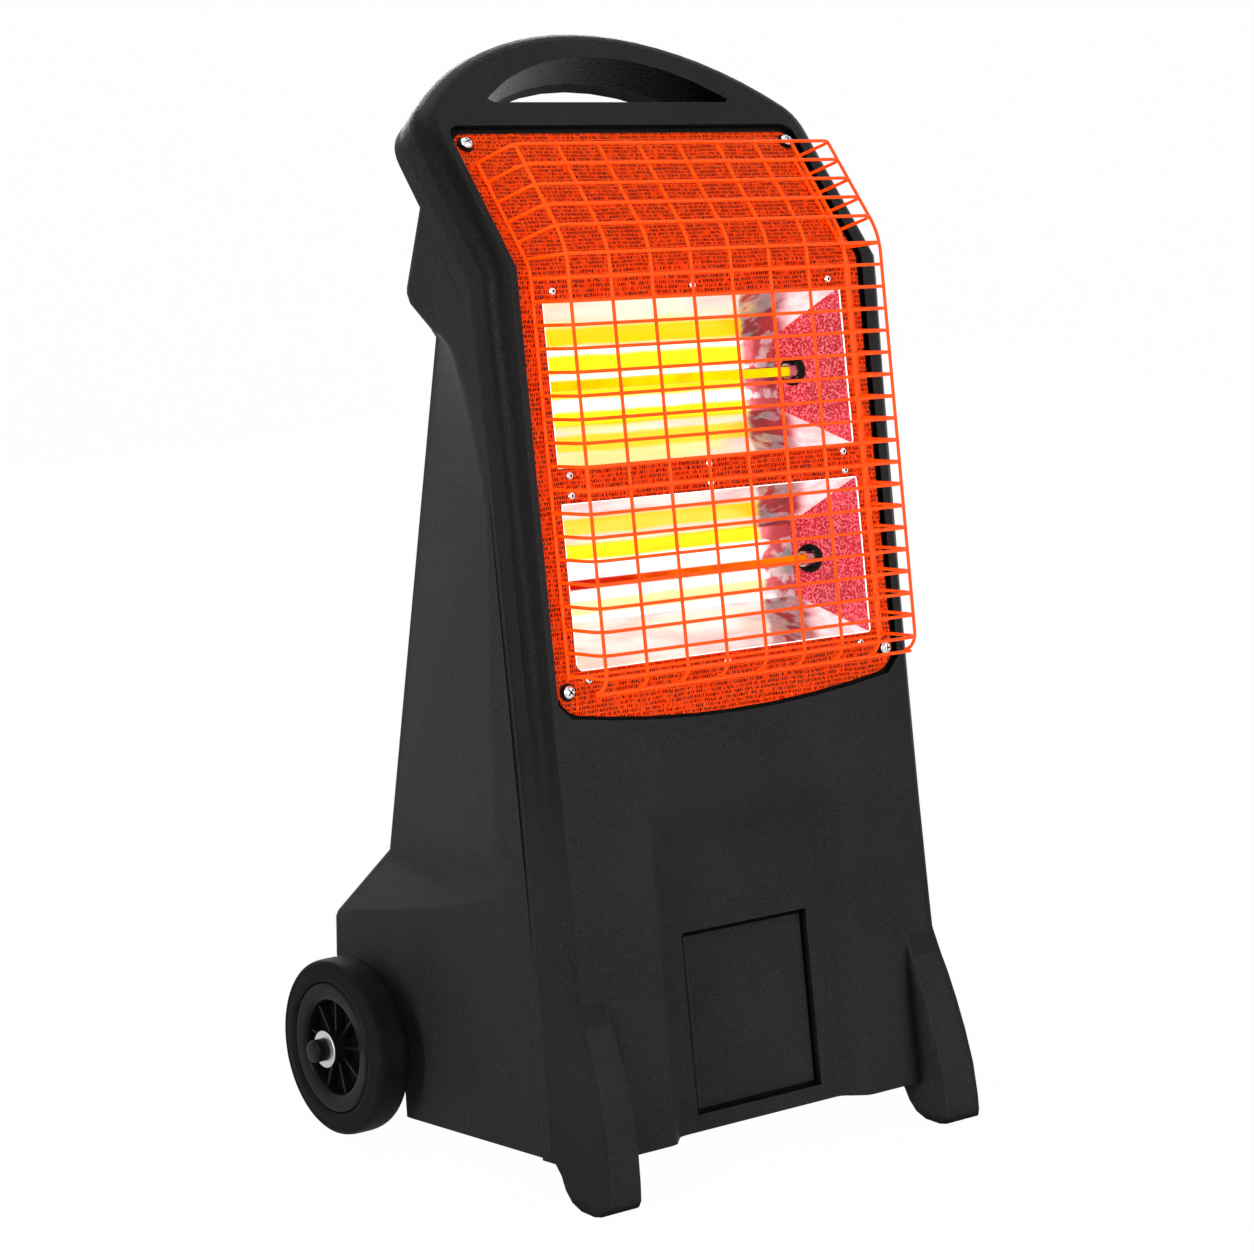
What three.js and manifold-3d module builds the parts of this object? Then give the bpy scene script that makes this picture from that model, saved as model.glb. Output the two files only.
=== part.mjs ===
// Infrared heater on wheels. Millimetres, +Z up, the front faces -Y, X runs from side to side.
// The origin is on the floor, in the middle of the heater's length and width.
import * as THREE from 'three';
import * as BufferGeometryUtils from 'three/addons/utils/BufferGeometryUtils.js';
import Module from 'manifold-3d';

const wasm = await Module();
wasm.setup();

// Leans in degrees from upright, and the height of the knee where the fascia bends
const lowerLean = 8.7;
const upperLean = 40.9;
const kneeHeight = 735;

// General sizes
const gap = 0.3;
const overrun = 60;
const sink = 1;
const edgeLap = 0.02;
const mergeTolerance = 0.0001;
const shellWall = 3.5;
const arcSteps = 5;
const roundSteps = 20;
const wheelSteps = 30;

// Outline of both shells, seen square to the fascia
const shellHalfWidth = 206;
const waistNarrowing = 5;
const waistHalfWidth = shellHalfWidth - waistNarrowing;
const footSpread = 2.5;
const footHalfWidth = shellHalfWidth + footSpread;
const kneeBand = 20;
const waistDrop = 380;
const shellDrop = 735;
const shoulderRise = 158.6654;
const archSagitta = 93.3346;
const archRadius = (shellHalfWidth ** 2 + archSagitta ** 2) / (2 * archSagitta);
const archCentre = shoulderRise + archSagitta - archRadius;
const shoulderRadius = 18;
const archSteps = 20;
const sideSteps = 4;

// Depth of the two shells, measured square to the fascia
const faceProud = 4;
const frontDepth = 34;
const bandDepth = 11;
const rimRadius = 16;
const rimSteps = 4;

// Hand opening in the arch
const handleEndWidth = 78;
const handleHalfWidth = shellHalfWidth - handleEndWidth;
const handleBar = 34;
const handleShoulder = 9.3346;
const handleBase = shoulderRise + handleShoulder;
const handleTop = shoulderRise + archSagitta - handleBar;
const handleEndRise = 7.7;
const handleSteps = 10;
const handleCorner = 5;

// Bottom edge of the shells, which falls from front to rear
const frontEdgeHeight = 33;
const rearEdgeHeight = 14;
const frontEdgeDepth = -111;
const bayFront = 128;

// Recess in the front panel, open at the bottom
const recessTopHalf = 101;
const recessBottomHalf = 106;
const recessFloorHalf = 88;
const recessTopHeight = 303;
const recessFloorHeight = 268;
const recessDepth = 17.5;
const recessCorner = 12;
const recessCornerShare = 0.3;
const recessSoft = 0.3;
const recessSoftSlope = 0.7;

// Feet of the front shell
const footWidth = 42;
const footReach = 144;
const footRise = 160;
const footRoot = 16;
const footRootDepth = 5;
const footBack = 89;
const toeHeight = 22;
const footProfileShares = [[0.639, 1], [0.697, 0.888], [0.76, 0.781], [0.829, 0.644], [0.897, 0.4875],
  [0.958, 0.3125], [0.992, 0.14], [1, 0.05]];
const toeProfileShares = [[0.972, 0.0125], [0.917, 0], [0.806, 0], [0.722, 0.025], [0.66, 0.075]];
const heelFrom = 3;
const footSideStep = 0.6;
const footTopRound = 14;
const footToeRound = 8;
const footSoleRound = 3;
const footInnerRound = 5;
const footInnerSteps = 2;

// Rear shell: head lobe, column and cabinet, as heights and as depths behind the knee line
const rearStep = 3;
const rearHalfWidth = shellHalfWidth - rearStep;
const columnInset = 48;
const columnHalfWidth = rearHalfWidth - columnInset;
const lobeTaper = 17;
const lobeHalfWidth = rearHalfWidth - lobeTaper;
const backRadius = 14;
const lobeEdge = 29;
const lobeTopHeight = 812;
const lobeUpperHeight = 784;
const lobeLowHeight = 711;
const neckHeight = 672;
const crestHeight = 560;
const scoopHeight = 262;
const columnFootHeight = 221;
const cabinetTopHeight = 172;
const lobeTopDepth = 121;
const lobeUpperDepth = 129;
const lobeLowDepth = 152;
const neckDepth = 157;
const columnFootDepth = 235;
const cabinetDepth = 245;
const loftRoot = 35;
const crestLap = 1;
const crestRadius = 9;
const crestSoftSteps = 2;
const backSteps = 4;
const bendSoft = 5;
const bendTrim = 1.3;
const crestShares = [[0.119, 0.047], [0.285, 0.074], [0.421, 0.109], [0.556, 0.161], [0.661, 0.208], [0.742, 0.268],
  [0.793, 0.35], [0.819, 0.444], [0.884, 0.573], [0.949, 0.709]];
const scoopShares = [[0.173, 0.078], [0.271, 0.122], [0.357, 0.176], [0.456, 0.259], [0.54, 0.35], [0.621, 0.444],
  [0.769, 0.648], [0.914, 0.853]];

// Wheel bays at the rear corners of the cabinet
const bayHeight = 138;
const bayInset = 53;
const bayHalfWidth = rearHalfWidth - bayInset;
const bayProfileShares = [[0.025, 0], [0.08, 0.477], [0.22, 0.702], [0.74, 0.944]];

// Fascia plate
const plateThickness = 1;
const frameWidth = 26.5;
const plateHalfWidth = shellHalfWidth - frameWidth;
const plateShoulder = 20.9654;
const plateTop = shoulderRise - plateShoulder;
const plateCorner = 352;
const plateBow = 15.5;
const plateRadius = 12;
const plateGap = 3;
const plateTopGap = 6;
const bowSteps = 8;
const ledgeSide = 16.5;
const ledgeHalfWidth = plateHalfWidth - ledgeSide;
const ledgeTopStep = 21.7;
const ledgeTop = plateTop - ledgeTopStep;
const ledgeBottom = 334;
const openingSide = 21.5;
const openingHalfWidth = plateHalfWidth - openingSide;
const openingHeight = 133.5;
const upperOpeningTop = 25.5;
const lowerOpeningTop = 187;

// Fascia screws
const screwEdge = 9.5;
const screwOffset = plateHalfWidth - screwEdge;
const upperScrewStep = 11.7;
const upperScrewRise = plateTop - upperScrewStep;
const lowerScrewDrop = 335.5;
const screwHeadRadius = 5.5;
const screwHeadHeight = 3.2;
const screwDomeShares = [[1, 0], [0.93, 0.45], [0.6, 0.88], [0, 1]];
const screwShankRadius = 2;
const screwLength = 14;
const washerRadius = 7.5;
const washerThickness = 1.2;
const bossRadius = 6;
const bossLength = 12;
const boreRadius = 2.4;

// Screws that join the two shells at the shoulders
const caseScrewEdge = 46;
const caseScrewOffset = shellHalfWidth - caseScrewEdge;
const caseScrewStep = 4;
const caseScrewRise = handleBase + caseScrewStep;
const caseScrewRadius = 1.8;
const caseBoreRadius = 2.1;
const caseHeadRadius = 4;
const caseHeadHeight = 2.6;
const caseScrewReach = 22;

// Wire guard
const wire = 2.6;
const guardHeight = 47;
const guardSide = 14.5;
const guardHalfWidth = plateHalfWidth - guardSide;
const guardColumns = 9;
const guardTopStep = 51.7;
const guardTop = plateTop - guardTopStep;
const upperRowPitch = 20.4;
const lowerRowPitch = 18.5;
const upperRows = 5;
const lowerRows = 18;
const guardKneeRow = 6.5;
const guardFoot = 324.5;
const guardCurlStart = -322;
const guardCurlRadius = 15;
const guardBaseStep = 31.7;
const guardBaseTop = plateTop - guardBaseStep;
const guardTip = 3;
const wireBite = 0.4;

// Reflectors and their end plates
const sheet = 0.8;
const reflectorDepth = 62;
const reflectorEndSlope = 27;
const reflectorBackHalf = openingHalfWidth - reflectorEndSlope;
const reflectorBackRise = 31;
const flangeSide = 4;
const flangeRise = 9;
const lampDepth = 47;
const lampHoleRadius = 11;

// Tube lamps
const tubeRadius = 5;
const tubeBore = 4;
const tubeReach = 4;
const tubeHalfLength = reflectorBackHalf + tubeReach;
const filamentRadius = 1.2;
const capRadius = 7;
const capSink = 2;
const capInner = reflectorBackHalf - capSink;
const capLength = 31;
const capOuter = capInner + capLength;
const holderStand = 16;
const holderInner = reflectorBackHalf + holderStand;
const holderThickness = 16;
const holderOuter = holderInner + holderThickness;
const holderWidth = 26;
const holderRise = 11;

// Heat shield
const shieldRoom = 20;
const shieldHalfWidth = openingHalfWidth + shieldRoom;
const shieldTop = 8;
const shieldBottom = 322;
const shieldDepth = 73;
const shieldSheet = 1;
const shieldFlange = 13;
const slotCount = 6;
const slotLength = 60;
const slotHeight = 6;
const slotPitch = 16;

// Thermal cut-out on the heat shield
const cutoutRadius = 8;
const cutoutHeight = 9;
const cutoutTabLength = 9;
const cutoutTabWidth = 6.3;
const cutoutTabThickness = 0.8;

// Wheels and axle
const wheelRadius = 75;
const wheelWidth = 36;
const wheelRoom = 17;
const wheelInner = rearHalfWidth + wheelRoom;
const wheelDepth = 170.4;
const tyreInnerRadius = 56;
const tyreShoulder = 9;
const rimDishRadius = 40;
const rimFaceInset = 3;
const hubRadius = 14;
const hubProud = 3;
const webThickness = 4;
const ribCount = 9;
const ribThickness = 2.4;
const ribDepth = 9;
const axleRadius = 6;
const axleClearance = 0.35;
const bushRadius = 10;
const bushFlangeRadius = 13;
const bushFlange = 3;
const bushDepth = 8;
const hubWasherRadius = 15.8;
const hubWasherThickness = 1.8;
const capNutRadius = 9.7;
const capNutLength = 12;
const capNutSkin = 2.5;
const capNutChamfer = 1;

// Hatch in the recess
const pocketHalfWidth = 68;
const pocketTopHeight = 194;
const pocketBottomHeight = 45;
const doorGap = 4;
const doorRecess = 5;
const doorThickness = 3;
const doorLedge = 8;
const ledgeThickness = 3;
const barrelRadius = 3;
const pinRadius = 1.4;
const pinBore = 1.7;

// Switches on the back of the head
const switchPlateWidth = 116;
const switchPlateHeight = 50;
const switchPlateThickness = 1.5;
const switchPitch = 44;
const bezelWidth = 25;
const bezelHeight = 34;
const bezelThickness = 2;
const housingWidth = 21;
const housingHeight = 29.4;
const housingDepth = 24;
const rockerWidth = 16;
const rockerHeight = 24;
const rockerDepth = 7;
const rockerThrow = 8;
const rockerProud = 2;
const rockerHollow = 1;
const cavityClearance = 0.8;

// Cable gland
const glandOffset = 95;
const glandHeight = 105;
const glandRadius = 11;
const glandLength = 10;
const glandThreadRadius = 8;
const glandBore = 4.5;
const glandTipShare = 0.8;
const glandNutRadius = 11;
const glandNutThickness = 5;

// Base cover, with the terminal block and the tip-over switch on it
const coverThickness = 2.5;
const coverRise = 1;
const coverGap = 0.6;
const terminalWidth = 62;
const terminalDepth = 20;
const terminalHeight = 17;
const terminalPoles = 5;
const poleRadius = 2.2;
const poleDepth = 9;
const terminalBack = 60;
const tipWidth = 34;
const tipDepth = 18;
const tipHeight = 26;
const tipOffset = 110;
const tipBack = 20;
const tipButtonRadius = 4;
const tipButtonHeight = 5;

const colours = {
  blackPlastic: { color: 0x17181a, roughness: 0.55, metalness: 0 },
  blackGloss: { color: 0x0b0b0c, roughness: 0.25, metalness: 0 },
  rubber: { color: 0x1d1d1e, roughness: 0.8, metalness: 0 },
  orangeSheet: { color: 0xe03c10, roughness: 0.6, metalness: 0.1 },
  orangeWire: { color: 0xf04a16, roughness: 0.45, metalness: 0.1 },
  brightSheet: { color: 0xd9d6cf, roughness: 0.2, metalness: 0.9 },
  hammeredSheet: { color: 0xb8b4b0, roughness: 0.35, metalness: 0.9 },
  steel: { color: 0xa8abad, roughness: 0.35, metalness: 1 },
  chrome: { color: 0xdcdcdc, roughness: 0.1, metalness: 1 },
  quartz: { color: 0xffe6c0, roughness: 0.05, metalness: 0 },
  glowing: { color: 0xffa030, roughness: 0.6, metalness: 0 },
  ceramic: { color: 0xe9e3d6, roughness: 0.7, metalness: 0 },
  brass: { color: 0xb89445, roughness: 0.35, metalness: 1 },
  redPlastic: { color: 0xb01812, roughness: 0.35, metalness: 0 },
};

// The whole heater sits in one group, moved so that its middle is at the origin
const heater = new THREE.Group();
const frontMost = -footReach;
const rearMost = Math.max(cabinetDepth + glandLength, wheelDepth + wheelRadius);
heater.position.y = -(frontMost + rearMost) / 2;

// Helpers for solids
const lowerAngle = THREE.MathUtils.degToRad(lowerLean);
const upperAngle = THREE.MathUtils.degToRad(upperLean);
const halfBend = (upperAngle - lowerAngle) / 2;
const partingDepth = faceProud - frontDepth;
const bandBack = partingDepth - gap - bandDepth;
const bigHalf = shellHalfWidth + overrun;

// A sheet frame has X across, Y up along the sheet and Z out of it, with its origin at the knee
function sheetFrame(angle) {
  const matrix = new THREE.Matrix4().makeRotationX(Math.PI / 2 - angle);
  return matrix.setPosition(0, 0, kneeHeight);
}
const lowerFrame = sheetFrame(lowerAngle);
const upperFrame = sheetFrame(upperAngle);
// A side profile is drawn as depth and height and runs along X
const sideFrame = new THREE.Matrix4().makeBasis(
  new THREE.Vector3(0, 1, 0), new THREE.Vector3(0, 0, 1), new THREE.Vector3(1, 0, 0));

function frameGroup(matrix, parent) {
  const group = new THREE.Group();
  matrix.decompose(group.position, group.quaternion, group.scale);
  parent.add(group);
  return group;
}

function solid(geometry) {
  const bare = geometry.clone();
  bare.deleteAttribute('normal');
  bare.deleteAttribute('uv');
  const merged = BufferGeometryUtils.mergeVertices(bare, mergeTolerance);
  return new wasm.Manifold(new wasm.Mesh({
    numProp: 3,
    vertProperties: new Float32Array(merged.attributes.position.array),
    triVerts: new Uint32Array(merged.index.array),
  }));
}

function geometryOf(body) {
  const mesh = body.getMesh();
  const geometry = new THREE.BufferGeometry();
  geometry.setAttribute('position', new THREE.BufferAttribute(mesh.vertProperties, 3));
  geometry.setIndex(new THREE.BufferAttribute(mesh.triVerts, 1));
  geometry.computeVertexNormals();
  return geometry;
}

function place(name, body, colour, parent) {
  const mesh = new THREE.Mesh(geometryOf(body), new THREE.MeshStandardMaterial(colour));
  mesh.name = name;
  parent.add(mesh);
  return mesh;
}

// A box between two corners
function block(x0, x1, y0, y1, z0, z1, frame) {
  const geometry = new THREE.BoxGeometry(x1 - x0, y1 - y0, z1 - z0);
  geometry.translate((x0 + x1) / 2, (y0 + y1) / 2, (z0 + z1) / 2);
  if (frame) geometry.applyMatrix4(frame);
  return solid(geometry);
}

// A round rod along Z from z0 to z1
function rod(radius, x, y, z0, z1, frame, steps = roundSteps) {
  const geometry = new THREE.CylinderGeometry(radius, radius, z1 - z0, steps);
  geometry.rotateX(Math.PI / 2).translate(x, y, (z0 + z1) / 2);
  if (frame) geometry.applyMatrix4(frame);
  return solid(geometry);
}

// A round rod along X from x0 to x1
function crossRod(radius, x0, x1, y, z, frame, steps = roundSteps) {
  const geometry = new THREE.CylinderGeometry(radius, radius, x1 - x0, steps);
  geometry.rotateZ(Math.PI / 2).translate((x0 + x1) / 2, y, z);
  if (frame) geometry.applyMatrix4(frame);
  return solid(geometry);
}

// An outline given as points, from z0 to z1, with an optional rounded rim at z1
function slab(points, z0, z1, frame, rim = 0) {
  const shape = new THREE.Shape(points);
  const geometry = new THREE.ExtrudeGeometry(shape, rim > 0 ? {
    depth: z1 - z0 - rim, bevelEnabled: true, bevelThickness: rim, bevelSize: rim,
    bevelOffset: -rim, bevelSegments: rimSteps,
  } : { depth: z1 - z0, bevelEnabled: false });
  geometry.translate(0, 0, z0);
  if (frame) geometry.applyMatrix4(frame);
  return solid(geometry);
}

// A body between two rings of points, or more
function loft(rings, frame) {
  const count = rings[0].length;
  const points = rings.flat();
  const index = [];
  for (let r = 0; r < rings.length - 1; r += 1) {
    for (let i = 0; i < count; i += 1) {
      const a = r * count + i;
      const b = r * count + (i + 1) % count;
      index.push(a, b, b + count, a, b + count, a + count);
    }
  }
  const last = (rings.length - 1) * count;
  for (let i = 1; i < count - 1; i += 1) {
    index.push(0, i + 1, i, last, last + i, last + i + 1);
  }
  const geometry = new THREE.BufferGeometry().setFromPoints(points);
  geometry.setIndex(index);
  if (frame) geometry.applyMatrix4(frame);
  return solid(geometry);
}

function rectangle(halfX, y0, y1, z) {
  return [[-halfX, y0], [halfX, y0], [halfX, y1], [-halfX, y1]].map(([x, y]) => new THREE.Vector3(x, y, z));
}

function arc(cx, cy, radius, from, to, steps) {
  return Array.from({ length: steps + 1 }, (_, i) => {
    const angle = from + (to - from) * i / steps;
    return new THREE.Vector2(cx + radius * Math.cos(angle), cy + radius * Math.sin(angle));
  });
}

// Lathe about Z from a closed profile of radius and height
function turned(profile, steps = roundSteps) {
  const points = profile.map(([radius, height]) => new THREE.Vector2(radius, height));
  const geometry = new THREE.LatheGeometry([...points, points[0].clone()], steps);
  geometry.rotateX(Math.PI / 2);
  return solid(geometry);
}

// A slab folded back along the knee. Its outline is drawn flat, in a part above the knee line and a part
// below it, and each level of the slab gives the outline's inset and how far out of the sheet it lies.
function foldedSlab(outline, levels) {
  const corners = [];
  for (const [inset, out] of levels) {
    const { above, below } = outline(inset);
    const ring = [...above, ...below.slice(1, -1)];
    for (const point of ring) {
      const rise = point.y === 0 ? out * Math.tan(halfBend) : point.y;
      corners.push(new THREE.Vector3(point.x, rise, out).applyMatrix4(point.y > 0 ? upperFrame : lowerFrame));
    }
  }
  const { above, below } = outline(0);
  const count = above.length + below.length - 2;
  const index = [];
  const last = (levels.length - 1) * count;
  for (let r = 0; r < last; r += count) {
    for (let i = 0; i < count; i += 1) {
      const a = r + i;
      const b = r + (i + 1) % count;
      index.push(a, b, b + count, a, b + count, a + count);
    }
  }
  for (const [points, shift] of [[above, 0], [below, above.length - 1]]) {
    for (const face of THREE.ShapeUtils.triangulateShape(points, [])) {
      const [a, b, c] = face.map((v) => (v + shift) % count);
      index.push(a, c, b, last + a, last + b, last + c);
    }
  }
  const geometry = new THREE.BufferGeometry().setFromPoints(corners);
  geometry.setIndex(index);
  return solid(geometry);
}

// The levels of a slab from back to front, with a rounded rim at the front
function levelsOf(inset, back, front, rim) {
  const levels = [[inset, back]];
  if (rim > 0) {
    for (let i = 0; i <= rimSteps; i += 1) {
      const angle = Math.PI / 2 * i / rimSteps;
      levels.push([inset + rim * (1 - Math.cos(angle)), front - rim * (1 - Math.sin(angle))]);
    }
  } else {
    levels.push([inset, front]);
  }
  return levels;
}

// Splits the right half of an outline, which runs up from the bottom, into what lies above and below the knee
function mirrored(right) {
  const half = right.find((p) => p.y === 0);
  const up = right.filter((p) => p.y > 0);
  const down = right.filter((p) => p.y < 0);
  const flip = (points) => points.filter((p) => p.x > 0).map((p) => new THREE.Vector2(-p.x, p.y)).reverse();
  const left = new THREE.Vector2(-half.x, 0);
  return { above: [half, ...up, ...flip(up), left], below: [left, ...flip(down), ...down, half] };
}

function strip(x0, x1, bottom, top) {
  const at = (x, y) => new THREE.Vector2(x, y);
  return () => ({ above: [at(x1, 0), at(x1, top), at(x0, top), at(x0, 0)],
    below: [at(x0, 0), at(x0, bottom), at(x1, bottom), at(x1, 0)] });
}

// Depth, as y, of the surface that lies a given way out of the fascia, at a height
function depthAt(out, height) {
  const rise = height - kneeHeight;
  const lower = rise * Math.tan(lowerAngle) - out / Math.cos(lowerAngle);
  const upper = rise * Math.tan(upperAngle) - out / Math.cos(upperAngle);
  return Math.max(lower, upper);
}

// Distance along the lower sheet of a point at a height and a given way out of it
function alongLower(height, out) {
  return (height - kneeHeight - out * Math.sin(lowerAngle)) / Math.cos(lowerAngle);
}

// Outline of the shells, drawn flat: the arch above the knee, the waist and the feet below it
function shellOutline(inset) {
  const half = shellHalfWidth - inset;
  const radius = archRadius - inset;
  const cornerAngle = Math.acos(half / radius);
  const corner = archCentre + radius * Math.sin(cornerAngle);
  const turn = (shoulderRadius - inset / 2) / radius;
  const crown = arc(0, archCentre, radius, cornerAngle + turn, Math.PI / 2, archSteps / 2).slice(0, -1);
  const shoulder = new THREE.QuadraticBezierCurve(
    new THREE.Vector2(half, corner - shoulderRadius), new THREE.Vector2(half, corner), crown[0]);
  const side = [];
  for (let i = sideSteps; i > 0; i -= 1) {
    const share = i / sideSteps;
    side.push(new THREE.Vector2(waistHalfWidth + (footHalfWidth - waistHalfWidth) * share ** 2 - inset,
      -waistDrop - (shellDrop - waistDrop) * share));
  }
  for (let i = sideSteps; i >= 0; i -= 1) {
    const share = i / sideSteps;
    side.push(new THREE.Vector2(waistHalfWidth + (shellHalfWidth - waistHalfWidth) * (1 - share) ** 2 - inset,
      -kneeBand - (waistDrop - kneeBand) * share));
  }
  const knee = new THREE.Vector2(half, 0);
  const top = new THREE.Vector2(0, archCentre + radius);
  return mirrored([...side, knee, ...shoulder.getPoints(arcSteps).slice(0, -1), ...crown, top]);
}

function shellSlab(inset, back, front, rim) {
  return foldedSlab(shellOutline, levelsOf(inset, back, front, rim));
}

// The space above the sloping bottom edge
const edgeAngle = Math.atan2(frontEdgeHeight - rearEdgeHeight, bayFront - frontEdgeDepth);
const edgeFrame = new THREE.Matrix4().makeRotationX(-edgeAngle).setPosition(0, bayFront, rearEdgeHeight);
function aboveEdge(rise) {
  const front = block(-bigHalf, bigHalf, -shellDrop, overrun, rise, shellDrop * 2, edgeFrame);
  const rear = block(-bigHalf, bigHalf, bayFront, shellDrop, rearEdgeHeight + rise, shellDrop * 2);
  const join = block(-bigHalf, bigHalf, -shellDrop, shellDrop, frontEdgeHeight + rise, shellDrop * 2);
  const wedge = front.intersect(block(-bigHalf, bigHalf, -shellDrop, bayFront + edgeLap, -overrun, shellDrop * 2));
  return wedge.add(rear).add(join);
}

// Hand opening
function handleOpening(grow, back, front) {
  const half = handleHalfWidth + grow;
  const chord = handleHalfWidth - handleCorner;
  const sagitta = handleTop - handleBase - handleEndRise;
  const archCurve = (chord ** 2 + sagitta ** 2) / (2 * sagitta);
  const radius = archCurve + grow;
  const centre = handleTop - archCurve;
  const base = handleBase - grow;
  const angle = Math.acos((half - grow - handleCorner) / radius);
  const crown = arc(0, centre, radius, angle, Math.PI - angle, handleSteps);
  const shoulder = (base + crown[0].y) / 2;
  const points = [new THREE.Vector2(-half + handleCorner, base), new THREE.Vector2(half - handleCorner, base),
    new THREE.Vector2(half, shoulder), ...crown, new THREE.Vector2(-half, shoulder)];
  return slab(points, back, front, upperFrame);
}

// Recess in the front panel, with its slopes rounded into the panel and into its floor
function frontRecess(grow) {
  const face = faceProud - grow;
  const floor = face - recessDepth;
  const topFace = alongLower(recessTopHeight, faceProud) + grow;
  const topFloor = alongLower(recessFloorHeight, faceProud - recessDepth) + grow;
  const low = -shellDrop - overrun;
  const ring = (share, out) => {
    const bottom = recessFloorHalf + grow + (recessBottomHalf - recessFloorHalf) * share;
    const side = recessFloorHalf + grow + (recessTopHalf - recessFloorHalf) * share;
    const top = topFloor + (topFace - topFloor) * share;
    const right = [[bottom, low], [side, top - recessCorner],
      [side - recessCorner * recessCornerShare, top - recessCorner * recessCornerShare], [side - recessCorner, top]];
    const left = right.map(([x, y]) => [-x, y]).reverse();
    return [...right, ...left].map(([x, y]) => new THREE.Vector3(x, y, out));
  };
  const lean = recessSoft * recessSoftSlope;
  const halfway = (lean - recessSoft) / 4;
  return loft([ring(-recessSoft, floor), ring(halfway, floor + recessDepth * lean / 4),
    ring(lean, floor + recessDepth * lean), ring(1 - lean, face - recessDepth * lean),
    ring(1 - halfway, face - recessDepth * lean / 4), ring(1 + recessSoft, face), ring(1 + recessSoft, face + overrun),
  ], lowerFrame);
}

// Fascia outline, drawn flat
function fasciaSlab(grow, topGrow, back, front) {
  const outline = () => {
    const half = plateHalfWidth + grow;
    const top = plateTop + topGrow;
    const bowRadius = (half ** 2 + plateBow ** 2) / (2 * plateBow);
    const centre = -plateCorner - plateBow - grow + bowRadius;
    const reach = Math.asin((half - plateRadius) / bowRadius);
    const bow = arc(0, centre, bowRadius, -Math.PI / 2, -Math.PI / 2 + reach, bowSteps / 2);
    const corner = bow[bow.length - 1].y + plateRadius;
    bow[0].x = 0;
    return mirrored([...bow, new THREE.Vector2(half, corner), new THREE.Vector2(half, 0),
      ...arc(half - plateRadius, top - plateRadius, plateRadius, 0, Math.PI / 2, arcSteps)]);
  };
  return foldedSlab(outline, levelsOf(0, back, front, 0));
}

const screwSpots = [
  { name: 'upper_left', x: -screwOffset, y: upperScrewRise, frame: upperFrame },
  { name: 'upper_right', x: screwOffset, y: upperScrewRise, frame: upperFrame },
  { name: 'lower_left', x: -screwOffset, y: -lowerScrewDrop, frame: lowerFrame },
  { name: 'lower_right', x: screwOffset, y: -lowerScrewDrop, frame: lowerFrame },
];

// Front shell
const seat = -plateThickness - gap;
const ledgeBack = seat - shellWall;
const hatchFloor = faceProud - recessDepth;
const pocketTop = alongLower(pocketTopHeight, hatchFloor);
const pocketBottom = alongLower(pocketBottomHeight, hatchFloor);
const doorFace = hatchFloor - doorRecess;
const doorBack = doorFace - doorThickness;
const ledgeFront = doorBack - gap;
const pocketBack = ledgeFront - ledgeThickness;

// Half width of the shells' outline at a distance below the knee
function sideHalf(drop) {
  const share = Math.min(Math.max((drop - waistDrop) / (shellDrop - waistDrop), 0), 1) * sideSteps;
  const whole = Math.min(Math.floor(share), sideSteps - 1);
  const at = (i) => waistHalfWidth + (footHalfWidth - waistHalfWidth) * (i / sideSteps) ** 2;
  return at(whole) + (at(whole + 1) - at(whole)) * (share - whole);
}

// Side view of a foot, from inside the panel down the front, round the toe and up the back.
// Each point has the radius that its outer edge is rounded by.
function footProfile(inset) {
  const root = footRise + footRoot;
  const front = footProfileShares.length;
  const at = (y, z, round) => ({ y, z, round: Math.max(round - inset, footSideStep) });
  const points = [at(depthAt(faceProud, root) + footRootDepth + inset, root, footTopRound)];
  footProfileShares.forEach(([reach, rise], i) => points.push(at(-footReach * reach + inset,
    Math.max(footRise * rise, inset), footTopRound + (footToeRound - footTopRound) * i / (front - 1))));
  toeProfileShares.forEach(([reach, rise], i) => points.push(at(-footReach * reach + (i < heelFrom ? inset : -inset),
    Math.max(footRise * rise, inset), footSoleRound)));
  points.push(at(-footBack - inset, toeHeight, footSoleRound));
  points.push(at(depthAt(partingDepth, frontEdgeHeight) - inset, frontEdgeHeight, footSoleRound));
  points.push(at(depthAt(partingDepth + shellWall, root) - inset, root, footSoleRound));
  return points;
}

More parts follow.
